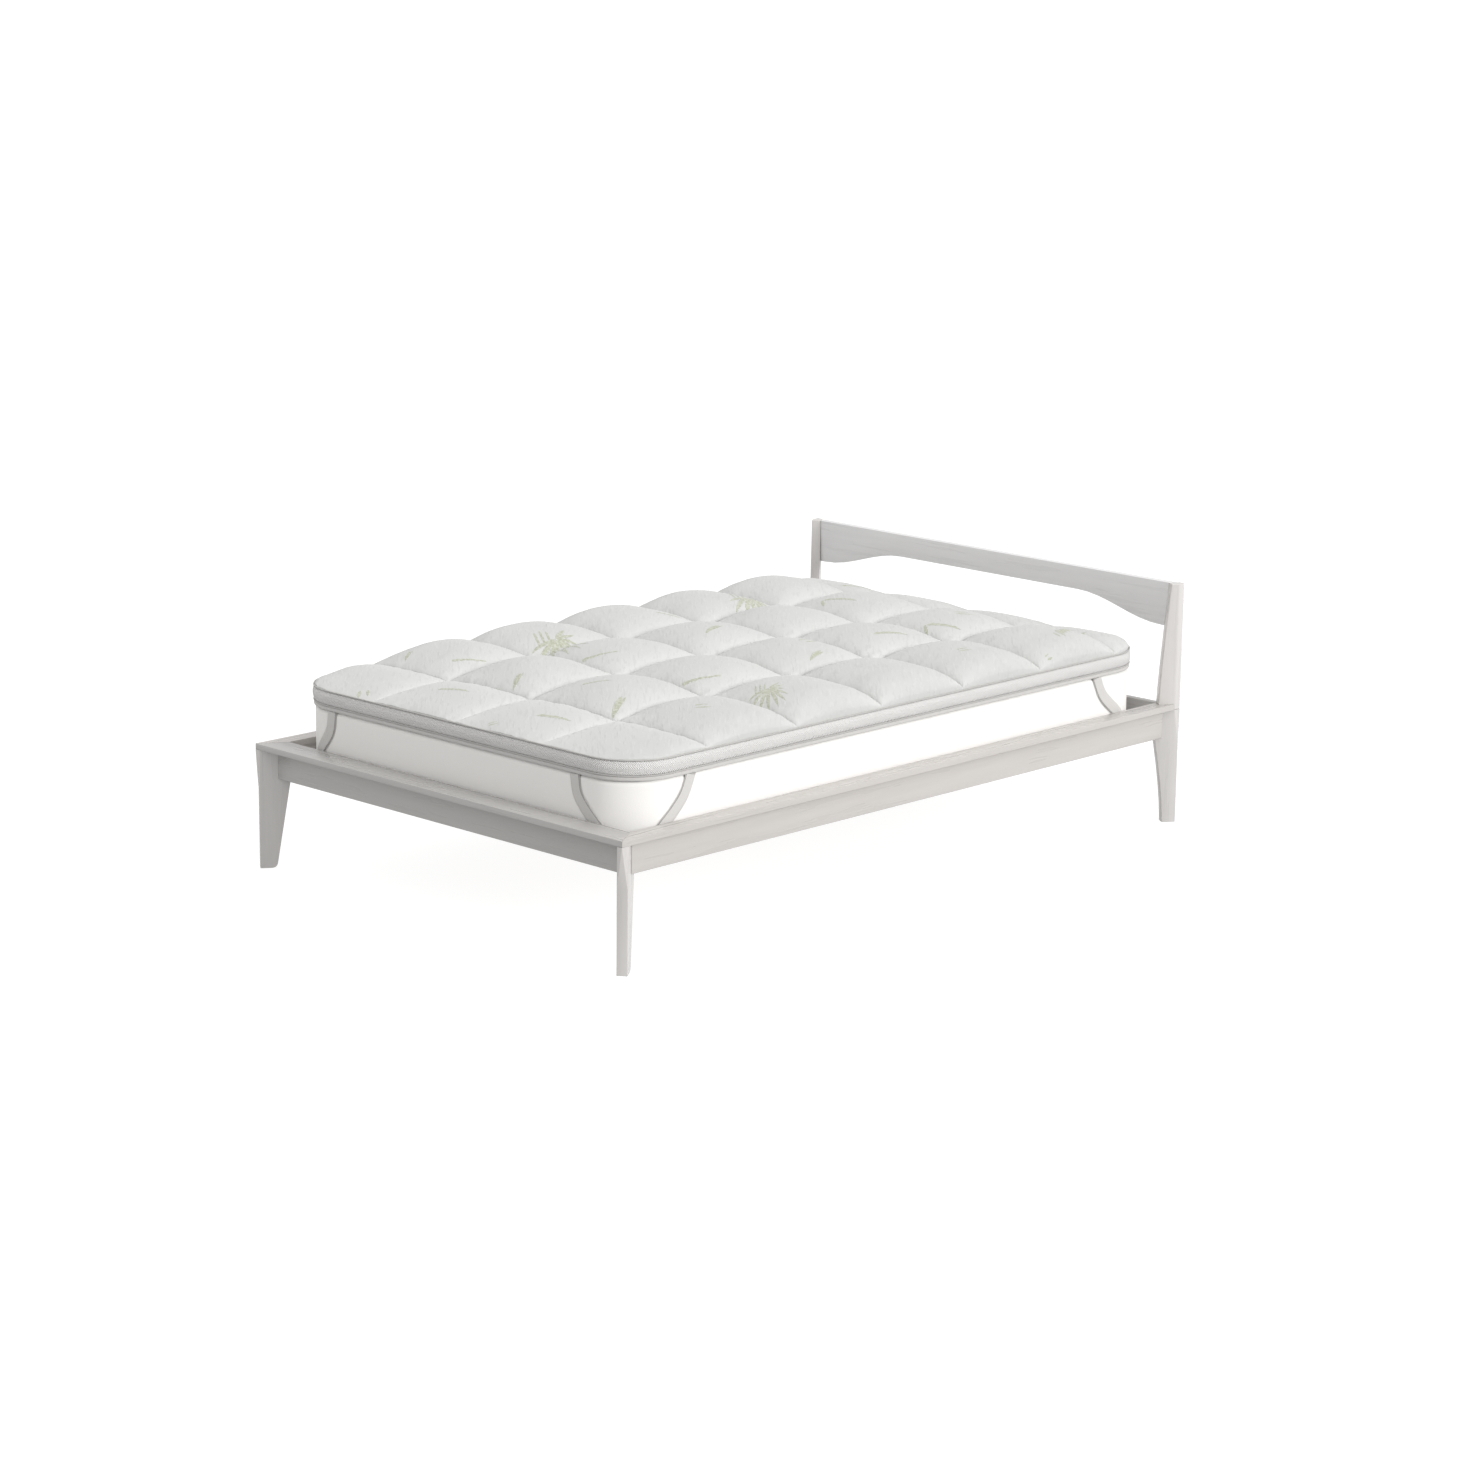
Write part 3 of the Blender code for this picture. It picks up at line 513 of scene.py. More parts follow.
def broad_leaf(x, y, heading, size):
    """A broad leaf over a narrow one that shows beside it."""
    beside = ahead_of(x, y, heading + 90, size * 0.10)
    return [(x, y, heading, size, size * 0.17, 14, 0.15),
            (*beside, heading - 6, size * 0.8, size * 0.10, 10, 0.0)]


def leaf_pair(x, y, heading, size):
    """Two small leaves side by side."""
    beside = ahead_of(x, y, heading + 90, size * 0.42)
    return [(x, y, heading, size, size * 0.26, 10, 0.1),
            (*beside, heading + 6, size * 0.85, size * 0.24, -8, 0.1)]


def hooked_twig(x, y, heading, size):
    """A twig whose stem turns back sharply where it begins."""
    return twig(x, y, heading, size) + [(x, y, heading - 64, size * 0.45, size * 0.110, 12, 0.5)]


MOTIFS = (
    (grove, -0.346, -0.288, -31, 0.155), (grove, -0.373, 0.450, -31, 0.138),
    (grove, 0.440, -0.322, -46, 0.104), (stalk, -0.366, -0.624, 56, 0.086),
    (twig, -0.205, -0.818, 17, 0.094), (twig, 0.166, -0.835, 19, 0.096),
    (broad_leaf, -0.109, -0.627, -57, 0.074), (broad_leaf, 0.232, -0.613, -57, 0.098),
    (stalk, -0.150, -0.382, 53, 0.090), (stalk, 0.208, -0.385, 64, 0.099),
    (leaf_pair, -0.381, -0.910, -47, 0.044), (broad_leaf, -0.522, -0.625, -54, 0.056),
    (twig, 0.089, -0.615, 46, 0.078), (leaf_pair, 0.101, -0.927, 49, 0.026),
    (twig, -0.388, 0.112, 46, 0.068), (broad_leaf, -0.124, 0.082, -67, 0.093),
    (leaf_pair, 0.165, 0.100, 100, 0.050), (broad_leaf, 0.238, 0.077, -66, 0.078),
    (leaf_pair, 0.449, -0.584, 50, 0.038), (twig, -0.399, 0.844, 53, 0.086),
    (hooked_twig, -0.212, 0.570, 21, 0.098), (twig, 0.208, 0.307, 63, 0.096),
    (hooked_twig, 0.178, 0.544, 23, 0.098), (leaf_pair, 0.488, 0.320, 67, 0.036),
    (leaf_pair, 0.504, 0.671, -19, 0.037), (twig, 0.524, 0.676, 108, 0.190),
    (leaf_pair, 0.590, 0.547, 92, 0.020), (leaf_pair, 0.179, 0.662, 56, 0.046),
    (twig, -0.140, -0.150, 140, 0.090), (stalk, -0.560, 0.030, 60, 0.100),
    (twig, 0.020, 0.700, 20, 0.090),
)


def woven_leaves(material):
    """All leaf strokes as thin lens-shaped patches on the quilted face.

    Across a stroke the patch rises as the root of 1 - v squared, and its underside sinks into the
    cover the same way, so that its edge lies on the cloth. The attribute "yarn" is 1 along the
    middle and 0 at the rim, where the leaf's yarn gives way to the ground.
    """
    strokes = [stroke for kind, *place in MOTIFS for stroke in kind(*place)]
    lines = [leaf_stroke(*stroke) for stroke in strokes]
    line, across, half = (np.stack(part) for part in zip(*lines))
    turn = np.linspace(0, 2 * math.pi, STROKE_SIDES, endpoint=False)
    v, rise = np.cos(turn), np.sin(turn)
    plan = line[:, :, None] + across[:, :, None] * half[:, :, None, None] * v[:, None]
    height = quilt_height(plan[..., 0], plan[..., 1]) + LEAF_RISE * rise + LEAF_LIFT
    points = np.concatenate([plan, height[..., None]], -1)
    count, rows, columns = points.shape[:3]
    quads, _ = grid_quads(rows, columns, False, True)
    starts = rows * columns * np.arange(count)
    faces = (starts[:, None, None] + quads).reshape(-1, 4).tolist()
    first = (starts[:, None] + np.arange(columns)[::-1]).tolist()
    last = (starts[:, None] + (rows - 1) * columns + np.arange(columns)).tolist()
    piece = piece_from_faces("woven_leaves", points.reshape(-1, 3), faces + first + last, None,
                             material)
    ends = np.minimum(1, 6 * np.sin(math.pi * np.linspace(0, 1, rows)))
    yarn = np.broadcast_to((1 - v ** 4) * ends[:, None], (count, rows, columns))
    keep_on_points(piece, "yarn", yarn)
    # painted light: the leaves are painted paler near the seams as well
    keep_on_points(piece, "seam_painted_light", seam_painted_light_share(plan[..., 0], plan[..., 1]))
    return piece


# === edging ======================================================================================
def piping(name, height, material):
    """Covered cord round the edge: a circle carried round the outline."""
    turn = np.linspace(0, 2 * math.pi, PIPING_SIDES, endpoint=False)
    offset, level = PIPING_RADIUS * np.cos(turn)[None], height + PIPING_RADIUS * np.sin(turn)
    grid = carry_round(offset, level, PIPING_STEPS)
    length = edge_line(PIPING_STEPS)[3]
    cell = (length / PIPING_STEPS, 2 * math.pi * PIPING_RADIUS / PIPING_SIDES)
    return surface_piece(name, grid, material, (True, True), cell)


def border_strip(name, low, high, bow, material):
    """Strip of cloth round the edge, pulled in where it is sewn and bowed out between.

    The outer side follows bow * sin(pi t) over the height, with a small tuck at both seams; a
    slight noise along the strip makes it uneven. The inner side is plain.
    """
    _, _, s, length = edge_line(STRIP_STEPS)
    t = np.linspace(0, 1, STRIP_ROWS + 1)
    back = np.linspace(1, 0, 4)
    outer = bow * np.sin(math.pi * t) - SEAM_TUCK * np.abs(2 * t - 1) ** 8
    wave_length, waves_up = STRIP_WAVE
    wave = smooth_noise(s[:, None] / wave_length, t[None] * waves_up, 11) * np.sin(math.pi * t)
    outer = outer + WAVE_SHARE * bow * wave
    inner = np.full((STRIP_STEPS, len(back)), -BAND_THICKNESS)
    offset = np.concatenate([outer, inner], 1)
    height = low + (high - low) * np.concatenate([t, back])
    grid = carry_round(offset, height, STRIP_STEPS)
    cell = (length / STRIP_STEPS, (high - low) / STRIP_ROWS)
    return surface_piece(name, grid, material, (True, True), cell)


# === mattress ====================================================================================
def soft_mattress(material):
    """Filled mattress: the edge profile carried round, its sides a little uneven."""
    turn = np.linspace(0, math.pi / 2, MATTRESS_EDGE_STEPS + 1)
    low = np.stack([LOWER_EDGE * (np.sin(turn) - 1), LOWER_EDGE * (1 - np.cos(turn))], -1)
    high = np.stack([UPPER_EDGE * (np.sin(turn) - 1), UPPER_EDGE * (1 - np.cos(turn))], -1)
    side_t = np.linspace(0, 1, MATTRESS_SIDE_STEPS + 1)[1:-1]
    side_low, side_high = MATTRESS_BOTTOM + LOWER_EDGE, MATTRESS_TOP - UPPER_EDGE
    side = np.stack([0 * side_t, side_low + (side_high - side_low) * side_t], -1)
    profile = np.concatenate([low + (0, MATTRESS_BOTTOM), side,
                              (high * (1, -1))[::-1] + (0, MATTRESS_TOP)])
    s = edge_line(MATTRESS_STEPS)[2]
    middle = np.sin(math.pi * (profile[:, 1] - MATTRESS_BOTTOM) / MATTRESS_HEIGHT)
    lump_length, lump_height = MATTRESS_LUMP
    uneven = smooth_noise(s[:, None] / lump_length, profile[:, 1] / lump_height, 21)
    offset = profile[:, 0] - MATTRESS_INSET + MATTRESS_UNEVENNESS * middle * uneven
    grid = carry_round(offset, profile[:, 1], MATTRESS_STEPS)
    columns = grid.shape[1]
    starts = np.arange(MATTRESS_STEPS) * columns
    caps = [starts[::-1], starts + columns - 1]
    return surface_piece("soft_mattress", grid, material, (True, False), (0.01, 0.01), caps)


# === straps ======================================================================================
def mattress_distance(p):
    """Signed distance of points from the mattress's side wall, lower edge and underside."""
    half = np.array([TOPPER_WIDTH / 2, TOPPER_LENGTH / 2]) - CORNER_RADIUS
    over = np.abs(p[..., :2] - (0, TOPPER_MIDDLE_Y)) - half
    plan = np.linalg.norm(np.maximum(over, 0), axis=-1) + np.minimum(over.max(-1), 0)
    plan = plan - (CORNER_RADIUS - MATTRESS_INSET - LOWER_EDGE)
    level = MATTRESS_BOTTOM + LOWER_EDGE - p[..., 2]
    outside = np.hypot(np.maximum(plan, 0), np.maximum(level, 0))
    return outside + np.minimum(np.maximum(plan, level), 0) - LOWER_EDGE


def mattress_normal(p):
    step = 0.00001
    slopes = [mattress_distance(p + step * a) - mattress_distance(p - step * a) for a in np.eye(3)]
    normal = np.stack(slopes, -1)
    return normal / np.linalg.norm(normal, axis=-1)[..., None]


def lay_on_mattress(p, clearance):
    """Move points to a fixed distance off the mattress."""
    for _ in range(6):
        p = p - (mattress_distance(p) - clearance)[..., None] * mattress_normal(p)
    return p


def smooth_route(knots, steps):
    """Curve through the knots, evenly spaced."""
    knots = np.array(knots)
    ends = np.concatenate([[2 * knots[0] - knots[1]], knots, [2 * knots[-1] - knots[-2]]])
    t = np.linspace(0, 1, 12, endpoint=False)[:, None]
    parts = [0.5 * (2 * b + (c - a) * t + (2 * a - 5 * b + 4 * c - d) * t ** 2
                    + (3 * b - a - 3 * c + d) * t ** 3)
             for a, b, c, d in zip(ends[:-3], ends[1:-2], ends[2:-1], ends[3:])]
    curve = np.concatenate(parts + [knots[-1:]])
    length = np.concatenate([[0], np.cumsum(np.linalg.norm(np.diff(curve, axis=0), axis=1))])
    even = np.linspace(0, length[-1], steps + 1)
    return np.stack([np.interp(even, length, curve[:, k]) for k in range(3)], -1)


def corner_strap(name, side_x, side_y, reach_x, reach_y, material):
    """Flat elastic round a corner: a flat section, thinner at its edges, along the mattress.

    Its two ends run level along the pad's edge. Returns the piece and its length.
    """
    knots = [(side_x * (TOPPER_WIDTH / 2 - MATTRESS_INSET - in_x * reach_x),
              TOPPER_MIDDLE_Y + side_y * (TOPPER_LENGTH / 2 - MATTRESS_INSET - in_y * reach_y), z)
             for in_x, in_y, z in STRAP_ROUTE]
    line = lay_on_mattress(smooth_route(knots, STRAP_STEPS), STRAP_CLEARANCE)
    ahead = np.gradient(line, axis=0)
    across = np.cross(ahead, mattress_normal(line))
    across /= np.linalg.norm(across, axis=1)[:, None]
    across[0] = across[-1] = 0
    across[0, 0] = math.copysign(1, across[1, 0])
    across[-1, 1] = math.copysign(1, across[-2, 1])
    v = np.linspace(-1, 1, STRAP_COLUMNS + 1)
    inner = lay_on_mattress(line[:, None] + across[:, None] * v[:, None] * STRAP_WIDTH / 2,
                            STRAP_CLEARANCE)
    middle_share = (1 - STRAP_EDGE_SHARE) * (1 - np.abs(v) ** 6)
    thickness = STRAP_THICKNESS * (STRAP_EDGE_SHARE + middle_share)
    outer = inner + thickness[:, None] * mattress_normal(inner)
    grid = np.concatenate([inner, outer[:, ::-1]], 1)
    columns = grid.shape[1]
    caps = [np.arange(columns)[::-1], STRAP_STEPS * columns + np.arange(columns)]
    length = float(np.linalg.norm(np.diff(line, axis=0), axis=1).sum())
    cell = (length / STRAP_STEPS, STRAP_WIDTH / STRAP_COLUMNS)
    piece = surface_piece(name, grid, material, (False, True), cell, caps)
    if outward_volume(grid.reshape(-1, 3), piece) <= 0:
        piece.data.flip_normals()
    return piece, length


def outward_volume(points, piece):
    """Volume enclosed by a piece's faces, negative when they point inwards."""
    mesh = piece.data
    mesh.calc_loop_triangles()
    corners = np.zeros(len(mesh.loop_triangles) * 3, dtype=np.int32)
    mesh.loop_triangles.foreach_get("vertices", corners)
    a, b, c = points[corners.reshape(-1, 3)].transpose(1, 0, 2)
    return float(np.einsum("ij,ij->i", a, np.cross(b, c)).sum() / 6)


# === boards ======================================================================================
def eased_board(node, name, material):
    """Copy of a wooden solid with its flat faces merged and its edges rounded."""
    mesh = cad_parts[node].data.copy()
    mesh.name = name
    shape = bmesh.new()
    shape.from_mesh(mesh)
    bmesh.ops.remove_doubles(shape, verts=shape.verts, dist=MERGE_DISTANCE)
    bmesh.ops.dissolve_limit(shape, angle_limit=math.radians(FLAT_ANGLE), verts=shape.verts,
                             edges=shape.edges)
    bmesh.ops.recalc_face_normals(shape, faces=shape.faces)
    shape.to_mesh(mesh)
    shape.free()
    mesh.materials.clear()
    mesh.materials.append(material)
    mesh.polygons.foreach_set("use_smooth", [True] * len(mesh.polygons))
    piece = bpy.data.objects.new(name, mesh)
    bpy.context.scene.collection.objects.link(piece)
    bevel = piece.modifiers.new("eased_edges", "BEVEL")
    bevel.width = EASED_EDGE
    bevel.segments = 3
    bevel.limit_method = "ANGLE"
    bevel.angle_limit = math.radians(EASED_ANGLE)
    bevel.harden_normals = True
    bevel.miter_outer = "MITER_ARC"
    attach(piece, "root")
    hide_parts(node)
    return piece


# === finishes ====================================================================================
def new_finish(name, colour, roughness, sheen=0.0):
    material = bpy.data.materials.new(name)
    material.use_nodes = True
    shader = material.node_tree.nodes["Principled BSDF"]
    shader.inputs["Base Color"].default_value = (*colour, 1.0)
    shader.inputs["Roughness"].default_value = roughness
    shader.inputs["Specular IOR Level"].default_value = 0.25
    shader.inputs["Sheen Weight"].default_value = sheen
    shader.inputs["Sheen Roughness"].default_value = 0.5
    material.diffuse_color = (*colour, 1.0)
    return material, material.node_tree, shader


def step(tree, kind, feeds=None, **settings):
    """One node; `feeds` gives each input a number, a colour or another node's output."""
    made = tree.nodes.new("ShaderNode" + kind)
    for key, value in settings.items():
        setattr(made, key, value)
    for key, value in (feeds or {}).items():
        if isinstance(value, bpy.types.NodeSocket):
            tree.links.new(value, made.inputs[key])
        else:
            made.inputs[key].default_value = value
    return made


def own_space(tree):
    """Coordinates in metres in the piece's space."""
    return step(tree, "TexCoord").outputs["Object"]


def own_map(tree):
    """The two coordinates, in metres, of the piece's own map: along it and across it."""
    place = step(tree, "SeparateXYZ", {"Vector": step(tree, "TexCoord").outputs["UV"]})
    return place.outputs[0], place.outputs[1]


def mapped(tree, place, **settings):
    feeds = {"Vector": place, **{key.capitalize(): value for key, value in settings.items()}}
    return step(tree, "Mapping", feeds).outputs[0]


def ranged(tree, value, low, high, to_low=0.0, to_high=1.0):
    """A value brought from the range low to high to the range to_low to to_high."""
    feeds = {"Value": value, "From Min": low, "From Max": high, "To Min": to_low,
             "To Max": to_high}
    return step(tree, "MapRange", feeds).outputs[0]


def fleck(tree, place, scale, low, high, detail=1.0):
    """Noise brought to 0 below `low` and to 1 above `high`."""
    noise = step(tree, "TexNoise", {"Vector": place, "Scale": scale, "Detail": detail})
    return ranged(tree, noise.outputs["Fac"], low, high)


def arithmetic(tree, operation, *values):
    feeds = dict(enumerate(values))
    return step(tree, "Math", feeds, operation=operation).outputs[0]


def times(tree, value, factor):
    return arithmetic(tree, "MULTIPLY", value, factor)


def ripple(tree, value, pitch):
    """Sine wave from -1 to 1 that repeats every `pitch`."""
    return arithmetic(tree, "SINE", times(tree, value, 2 * math.pi / pitch))


def toned(colour, factor):
    return tuple(min(c * factor, 1) for c in colour)


def colour_mix(tree, factor, first, second):
    """Colour between two colours; either may be a colour or another node's output."""
    made = tree.nodes.new("ShaderNodeMix")
    made.data_type = "RGBA"
    sockets = (made.inputs[0], made.inputs[6], made.inputs[7])
    for socket, value in zip(sockets, (factor, first, second)):
        if isinstance(value, bpy.types.NodeSocket):
            tree.links.new(value, socket)
        else:
            socket.default_value = (*value, 1.0) if isinstance(value, tuple) else value
    return made.outputs[2]


def raise_relief(tree, shader, height, depth):
    bump = step(tree, "Bump", {"Height": height, "Strength": 1.0, "Distance": depth})
    tree.links.new(bump.outputs[0], shader.inputs["Normal"])


def knit_cover(name, ground, leaf, dark_leaf):
    """Soft knit with slubs drawn out on the slant, and leaves where "yarn" is above 0.

    Painted light makes it paler at the seams, lifting their shade. Slubs are light or deep flecks.
    """
    material, tree, shader = new_finish(name, ground, 0.85, 0.15)
    place = own_space(tree)
    turned = mapped(tree, place, rotation=(0, 0, math.radians(-45)))
    drawn = mapped(tree, turned, scale=(1.0, 0.15, 0.5))
    light = fleck(tree, drawn, 150.0, 0.55, 0.68)
    deep = fleck(tree, mapped(tree, drawn, location=(3.1, 1.7, 0.4)), 135.0, 0.56, 0.68)
    ribs = step(tree, "TexWave", {"Vector": turned, "Scale": 150.0, "Distortion": 2.5,
                                  "Detail": 2.0, "Detail Scale": 3.0}, bands_direction="X")
    broad = fleck(tree, place, 5.0, 0.30, 0.70, 2.0)
    seam_painted_light = step(tree, "Attribute", attribute_name="seam_painted_light").outputs["Fac"]
    # painted light: the cover is painted paler at the seams to lift their shade
    base = colour_mix(tree, seam_painted_light, ground, toned(ground, SEAM_PAINTED_LIGHT_TONE))
    base = colour_mix(tree, times(tree, broad, 0.5), base, toned(ground, 0.965))
    base = colour_mix(tree, times(tree, light, 0.5), base, toned(ground, 1.08))
    base = colour_mix(tree, times(tree, deep, 0.4), base, toned(ground, 0.90))
    mottle = fleck(tree, place, 170.0, 0.35, 0.65, 2.0)
    leaf_tone = colour_mix(tree, mottle, leaf, dark_leaf)
    yarn = step(tree, "Attribute", attribute_name="yarn").outputs["Fac"]
    ragged = arithmetic(tree, "MULTIPLY_ADD", mottle, 0.35, yarn)
    cover = ranged(tree, ragged, 0.40, 1.10, 0.0, 0.92)
    is_leaf = times(tree, cover, arithmetic(tree, "GREATER_THAN", yarn, 0.001))
    base = colour_mix(tree, is_leaf, base, leaf_tone)
    tree.links.new(base, shader.inputs["Base Color"])
    height = arithmetic(tree, "MULTIPLY_ADD", ribs.outputs["Fac"], 0.22, light)
    height = arithmetic(tree, "SUBTRACT", height, deep)
    raise_relief(tree, shader, height, KNIT_RELIEF)
    return material


def border_mesh(name, colour):
    """Open mesh: slanting rows of small holes that change direction, as in a chevron."""
    material, tree, shader = new_finish(name, colour, 0.85, 0.15)
    u, v = own_map(tree)
    swung = arithmetic(tree, "PINGPONG", v, MESH_SWING)
    rows = arithmetic(tree, "ADD", times(tree, u, 1 / MESH_ROW), times(tree, swung, 1 / MESH_ROW))
    slant, holes = ripple(tree, rows, 1), ripple(tree, v, MESH_HOLE)
    height = arithmetic(tree, "MULTIPLY_ADD", slant, 0.7, times(tree, holes, 0.3))
    tone = ranged(tree, height, -1.0, 0.9)
    patchy = fleck(tree, own_space(tree), 14.0, 0.35, 0.65, 2.0)
    base = colour_mix(tree, tone, toned(colour, 0.78), toned(colour, 1.06))
    base = colour_mix(tree, times(tree, patchy, 0.12), base, toned(colour, 0.8))
    tree.links.new(base, shader.inputs["Base Color"])
    raise_relief(tree, shader, height, MESH_RELIEF)
    return material


def woven_cloth(name, colour, thread, depth):
    """Plain weave on the piece's own map: two sets of threads at right angles."""
    material, tree, shader = new_finish(name, colour, 0.85, 0.1)
    u, v = own_map(tree)
    height = times(tree, ripple(tree, u, thread), ripple(tree, v, thread))
    tone = ranged(tree, height, -1.0, 1.0)
    base = colour_mix(tree, tone, toned(colour, 0.90), toned(colour, 1.04))
    tree.links.new(base, shader.inputs["Base Color"])
    raise_relief(tree, shader, height, depth)
    return material


def elastic_band(name, colour):
    """Lengthwise ribs with fine cross threads and dark edges, on the strap's own map."""
    material, tree, shader = new_finish(name, colour, 0.75, 0.1)
    u, v = own_map(tree)
    ribs, threads = ripple(tree, v, ELASTIC_RIB), ripple(tree, u, ELASTIC_THREAD)
    height = arithmetic(tree, "MULTIPLY_ADD", threads, 0.35, ribs)
    tone = ranged(tree, height, -1.3, 1.3)
    base = colour_mix(tree, tone, toned(colour, 0.86), toned(colour, 1.05))
    # a darker band along each edge of the elastic
    from_edge = arithmetic(tree, "PINGPONG", v, STRAP_WIDTH)
    dark_edge = arithmetic(tree, "LESS_THAN", from_edge, DARK_EDGE_WIDTH)
    base = colour_mix(tree, dark_edge, base, toned(colour, 0.50))
    tree.links.new(base, shader.inputs["Base Color"])
    raise_relief(tree, shader, height, ELASTIC_RELIEF)
    return material


def mattress_cloth(name, colour):
    """Smooth stretch cover: a fine dimpled knit, almost even in colour."""
    material, tree, shader = new_finish(name, colour, 0.8, 0.2)
    place = own_space(tree)
    dimples = step(tree, "TexVoronoi", {"Vector": place, "Scale": 420.0}, feature="F1")
    broad = fleck(tree, place, 6.0, 0.3, 0.7, 2.0)
    base = colour_mix(tree, times(tree, broad, 0.4), colour, toned(colour, 0.97))
    tree.links.new(base, shader.inputs["Base Color"])
    raise_relief(tree, shader, dimples.outputs["Distance"], COVER_RELIEF)
    return material


def limed_wood(name, colour, lengthwise):
    """Whitewashed board: pale grain drawn out along the board, with pores and a slight sheen.

    `lengthwise` is 0, 1 or 2 for a board that runs along X, Y or Z.
    """
    material, tree, shader = new_finish(name, colour, 0.4)
    shader.inputs["Specular IOR Level"].default_value = WOOD_GLOSS
    place = own_space(tree)
    broad, fine = [9.0, 9.0, 9.0], [70.0, 70.0, 70.0]
    broad[lengthwise], fine[lengthwise] = 0.6, 1.6
    grain = fleck(tree, mapped(tree, place, scale=broad), 6.0, 0.32, 0.68, 5.0)
    pores = fleck(tree, mapped(tree, place, scale=fine), 7.0, 0.58, 0.74, 2.0)
    base = colour_mix(tree, times(tree, grain, 0.8), toned(colour, 0.955), toned(colour, 1.03))
    base = colour_mix(tree, times(tree, pores, 0.3), base, toned(colour, 0.90))
    tree.links.new(base, shader.inputs["Base Color"])
    tree.links.new(ranged(tree, grain, 0.0, 1.0, *WOOD_ROUGHNESS), shader.inputs["Roughness"])
    height = arithmetic(tree, "MULTIPLY_ADD", grain, 0.5, times(tree, pores, -1.0))
    raise_relief(tree, shader, height, WOOD_RELIEF)
    return material


def pale_floor_finish():
    """Pale floor that glows a little, so that it stays even to its far end."""
    material, tree, shader = new_finish("pale_floor", FLOOR_COLOUR, 0.9)
    faint = fleck(tree, own_space(tree), 0.8, 0.3, 0.7, 2.0)
    base = colour_mix(tree, faint, FLOOR_COLOUR, toned(FLOOR_COLOUR, 1.1))
    tree.links.new(base, shader.inputs["Base Color"])
    shader.inputs["Emission Color"].default_value = (1.0, 1.0, 1.0, 1.0)
    shader.inputs["Emission Strength"].default_value = FLOOR_GLOW
    return material


# === the whole ===================================================================================
def dress_topper():
    knit = knit_cover("knit_cover", KNIT_COLOUR, LEAF_COLOUR, DARK_LEAF_COLOUR)
    thread = woven_cloth("sewing_thread", THREAD_COLOUR, thread=0.0004, depth=0.0)
    mesh = border_mesh("border_mesh", MESH_COLOUR)
    cord = woven_cloth("piping_cloth", PIPING_COLOUR, thread=0.0010, depth=0.0001)
    # base strip: its own cloth tone, darkened further as painted shade under the topper's edge
    plain = woven_cloth("base_cloth_painted_shade", BAND_PAINTED_SHADE_COLOUR, thread=0.0012, depth=0.0001)
    pad = quilted_pad(knit)
    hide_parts("topper_pad")
    channel_stitching(thread)
    woven_leaves(knit)
    for name, node, height in (("upper_piping", "piping_upper", UPPER_PIPING_Z),
                               ("lower_piping", "piping_lower", LOWER_PIPING_Z)):
        cording = piping(name, height, cord)
        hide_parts(node)
    clear = PIPING_RADIUS
    gusset = border_strip("mesh_gusset", LOWER_PIPING_Z + clear, UPPER_PIPING_Z - clear,
                          GUSSET_BOW, mesh)
    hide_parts("border_band")
    hem = border_strip("base_strip", TOPPER_BOTTOM + HEM_LIFT, LOWER_PIPING_Z - clear,
                       HEM_BOW, plain)
    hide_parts("base_band")


def dress_straps():
    elastic = elastic_band("elastic_band", ELASTIC_COLOUR)
    sides = {"left": -1, "right": 1, "foot": -1, "head": 1}
    for end, hand, reach_x, reach_y in STRAPS:
        name = f"corner_strap_{end}_{hand}"
        strap, length = corner_strap(name, sides[hand], sides[end], reach_x, reach_y, elastic)
        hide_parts(f"strap_{end}_{hand}")


def dress_bed():
    # painted shade: the boards across the bed are a darker tone of the one limed wood
    across = limed_wood("limed_wood_across_painted_shade", FOOT_RAIL_PAINTED_SHADE_COLOUR, 0)
    along = limed_wood("limed_wood_along", SIDE_RAIL_COLOUR, 1)
    # painted light: legs, posts and headboard are paler tones of the one limed wood
    leg = limed_wood("limed_wood_leg_painted_light", LEG_PAINTED_LIGHT_COLOUR, 2)
    post = limed_wood("limed_wood_post_painted_light", POST_PAINTED_LIGHT_COLOUR, 2)
    head = limed_wood("limed_wood_head_painted_light", HEADBOARD_PAINTED_LIGHT_COLOUR, 0)
    panel = limed_wood("plain_board", PANEL_COLOUR, 1)
    finishes = {"ledge_foot": across, "rail_foot": across, "rail_head": across, "headboard": head,
                "ledge_left": along, "ledge_right": along, "rail_left": along, "rail_right": along,
                "deck": panel, "cleat_left": panel, "cleat_right": panel}
    for node in ("leg_foot_left", "leg_foot_right", "leg_head_left", "leg_head_right"):
        finishes[node] = leg
    for node in ("post_left", "post_right"):
        finishes[node] = post
    for node, finish in finishes.items():
        board = eased_board(node, node + "_board", finish)


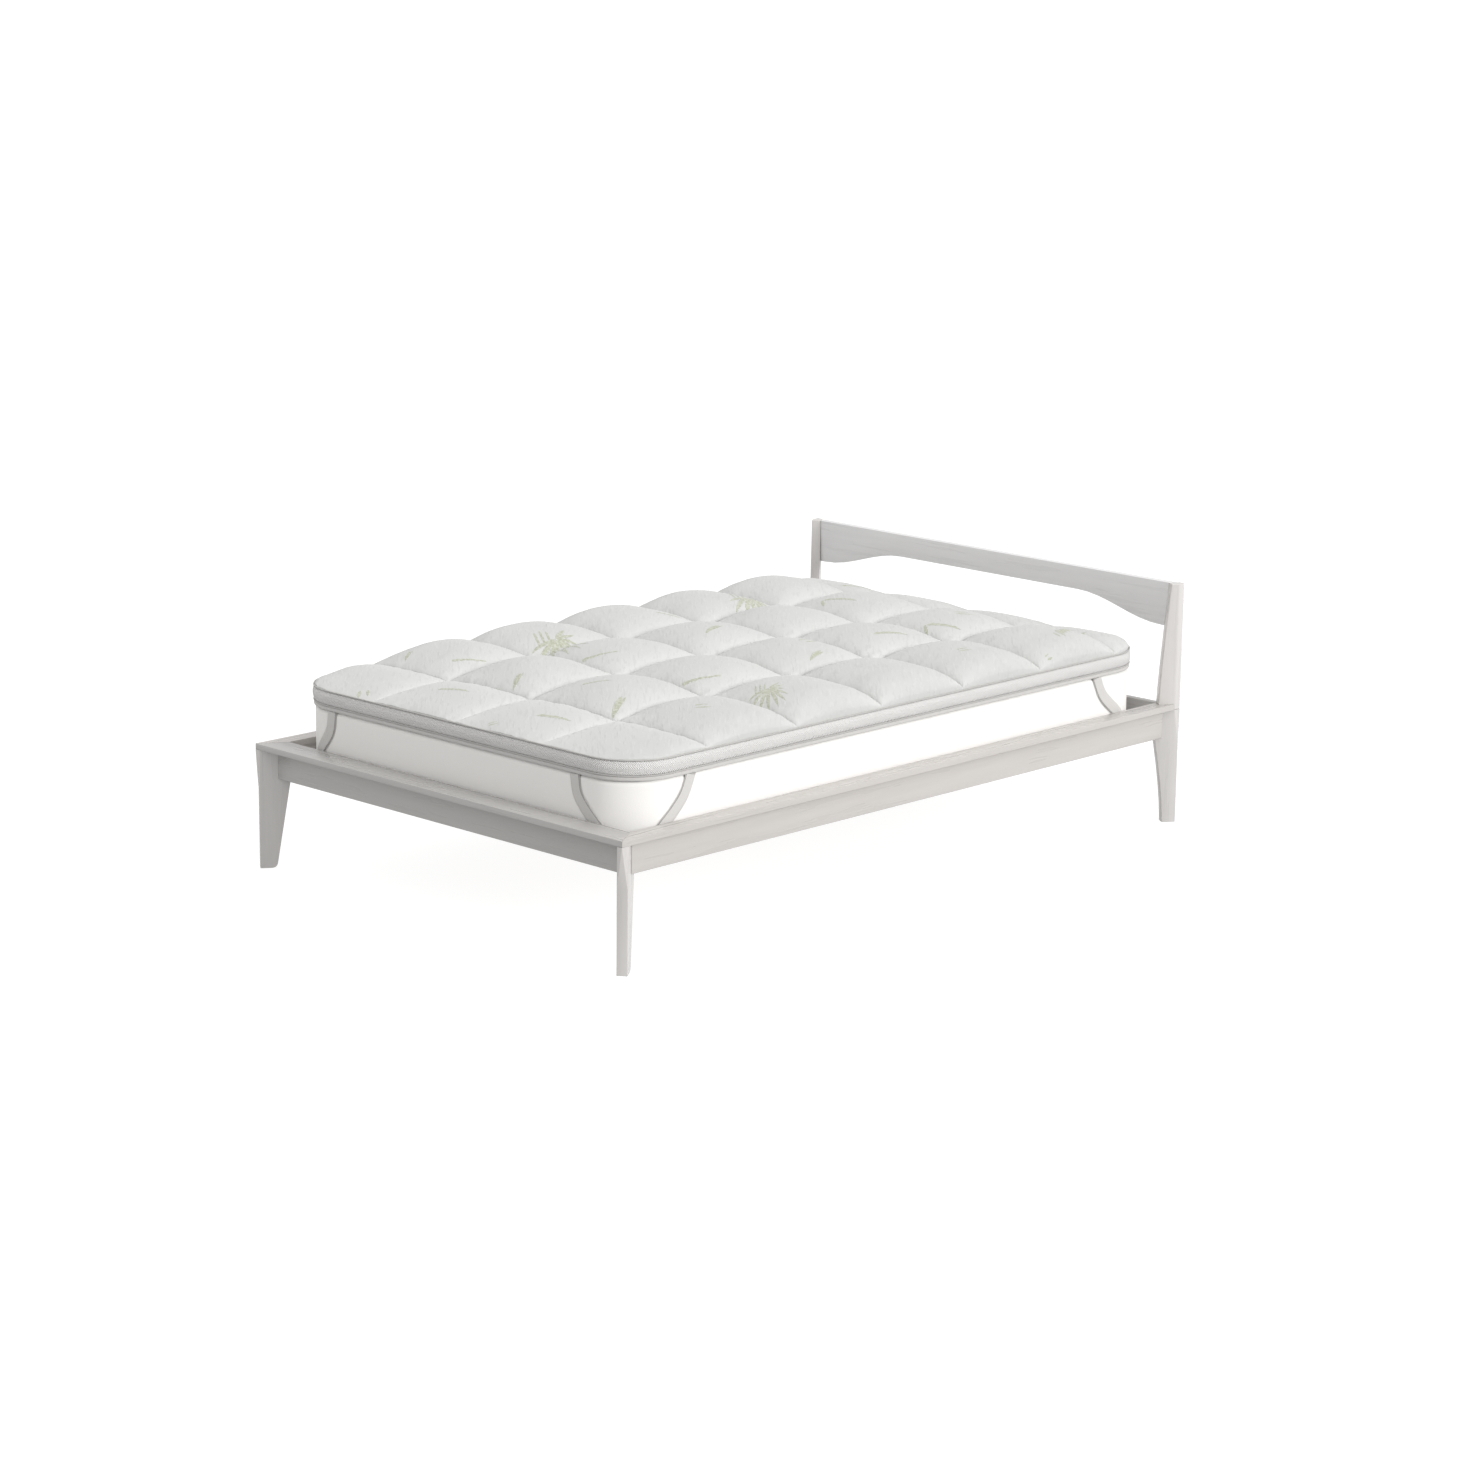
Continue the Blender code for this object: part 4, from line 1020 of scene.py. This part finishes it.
def lay_floor():
    mesh = bpy.data.meshes.new("floor")
    reach = FLOOR_REACH
    mesh.from_pydata([(-reach, -reach, 0), (reach, -reach, 0), (reach, reach, 0),
                      (-reach, reach, 0)], [], [(0, 1, 2, 3)])
    mesh.materials.append(pale_floor_finish())
    floor = bpy.data.objects.new("floor", mesh)
    bpy.context.scene.collection.objects.link(floor)
    floor.visible_diffuse = False


def light_studio():
    """Wide soft light from above, little from below, and a low broad key from the right."""
    world = bpy.data.worlds.new("studio")
    bpy.context.scene.world = world
    world.use_nodes = True
    tree = world.node_tree
    direction = step(tree, "TexCoord").outputs["Generated"]
    height = step(tree, "SeparateXYZ", {"Vector": direction}).outputs[2]
    strength = ranged(tree, height, -HORIZON_BLEND, HORIZON_BLEND, SKY_BELOW, SKY_LOW)
    extra = ranged(tree, height, 0.0, 1.0, 0.0, SKY_EXTRA)
    strength = arithmetic(tree, "ADD", strength, extra)
    sky = tree.nodes["Background"]
    sky.inputs["Color"].default_value = (1.0, 1.0, 1.0, 1.0)
    tree.links.new(strength, sky.inputs["Strength"])
    lamp = bpy.data.lights.new("key", "SUN")
    lamp.energy = KEY_STRENGTH
    lamp.angle = math.radians(KEY_BREADTH)
    key = bpy.data.objects.new("key", lamp)
    bpy.context.scene.collection.objects.link(key)
    key.rotation_euler = (0.0, math.radians(90 - KEY_HEIGHT), math.radians(KEY_TURN))


def place_camera():
    lens = bpy.data.cameras.new("view")
    lens.sensor_fit = "HORIZONTAL"
    lens.sensor_width = SENSOR_MM
    lens.lens = LENS_MM
    lens.clip_end = 500.0
    camera = bpy.data.objects.new("view", lens)
    camera.location = CAMERA_PLACE
    camera.rotation_euler = CAMERA_TURN
    bpy.context.scene.collection.objects.link(camera)
    bpy.context.scene.camera = camera


place_camera()
dress_bed()
mattress = soft_mattress(mattress_cloth("mattress_cloth", MATTRESS_COLOUR))
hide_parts("mattress")
dress_topper()
dress_straps()
lay_floor()
light_studio()
bpy.context.scene.view_settings.view_transform = "Standard"
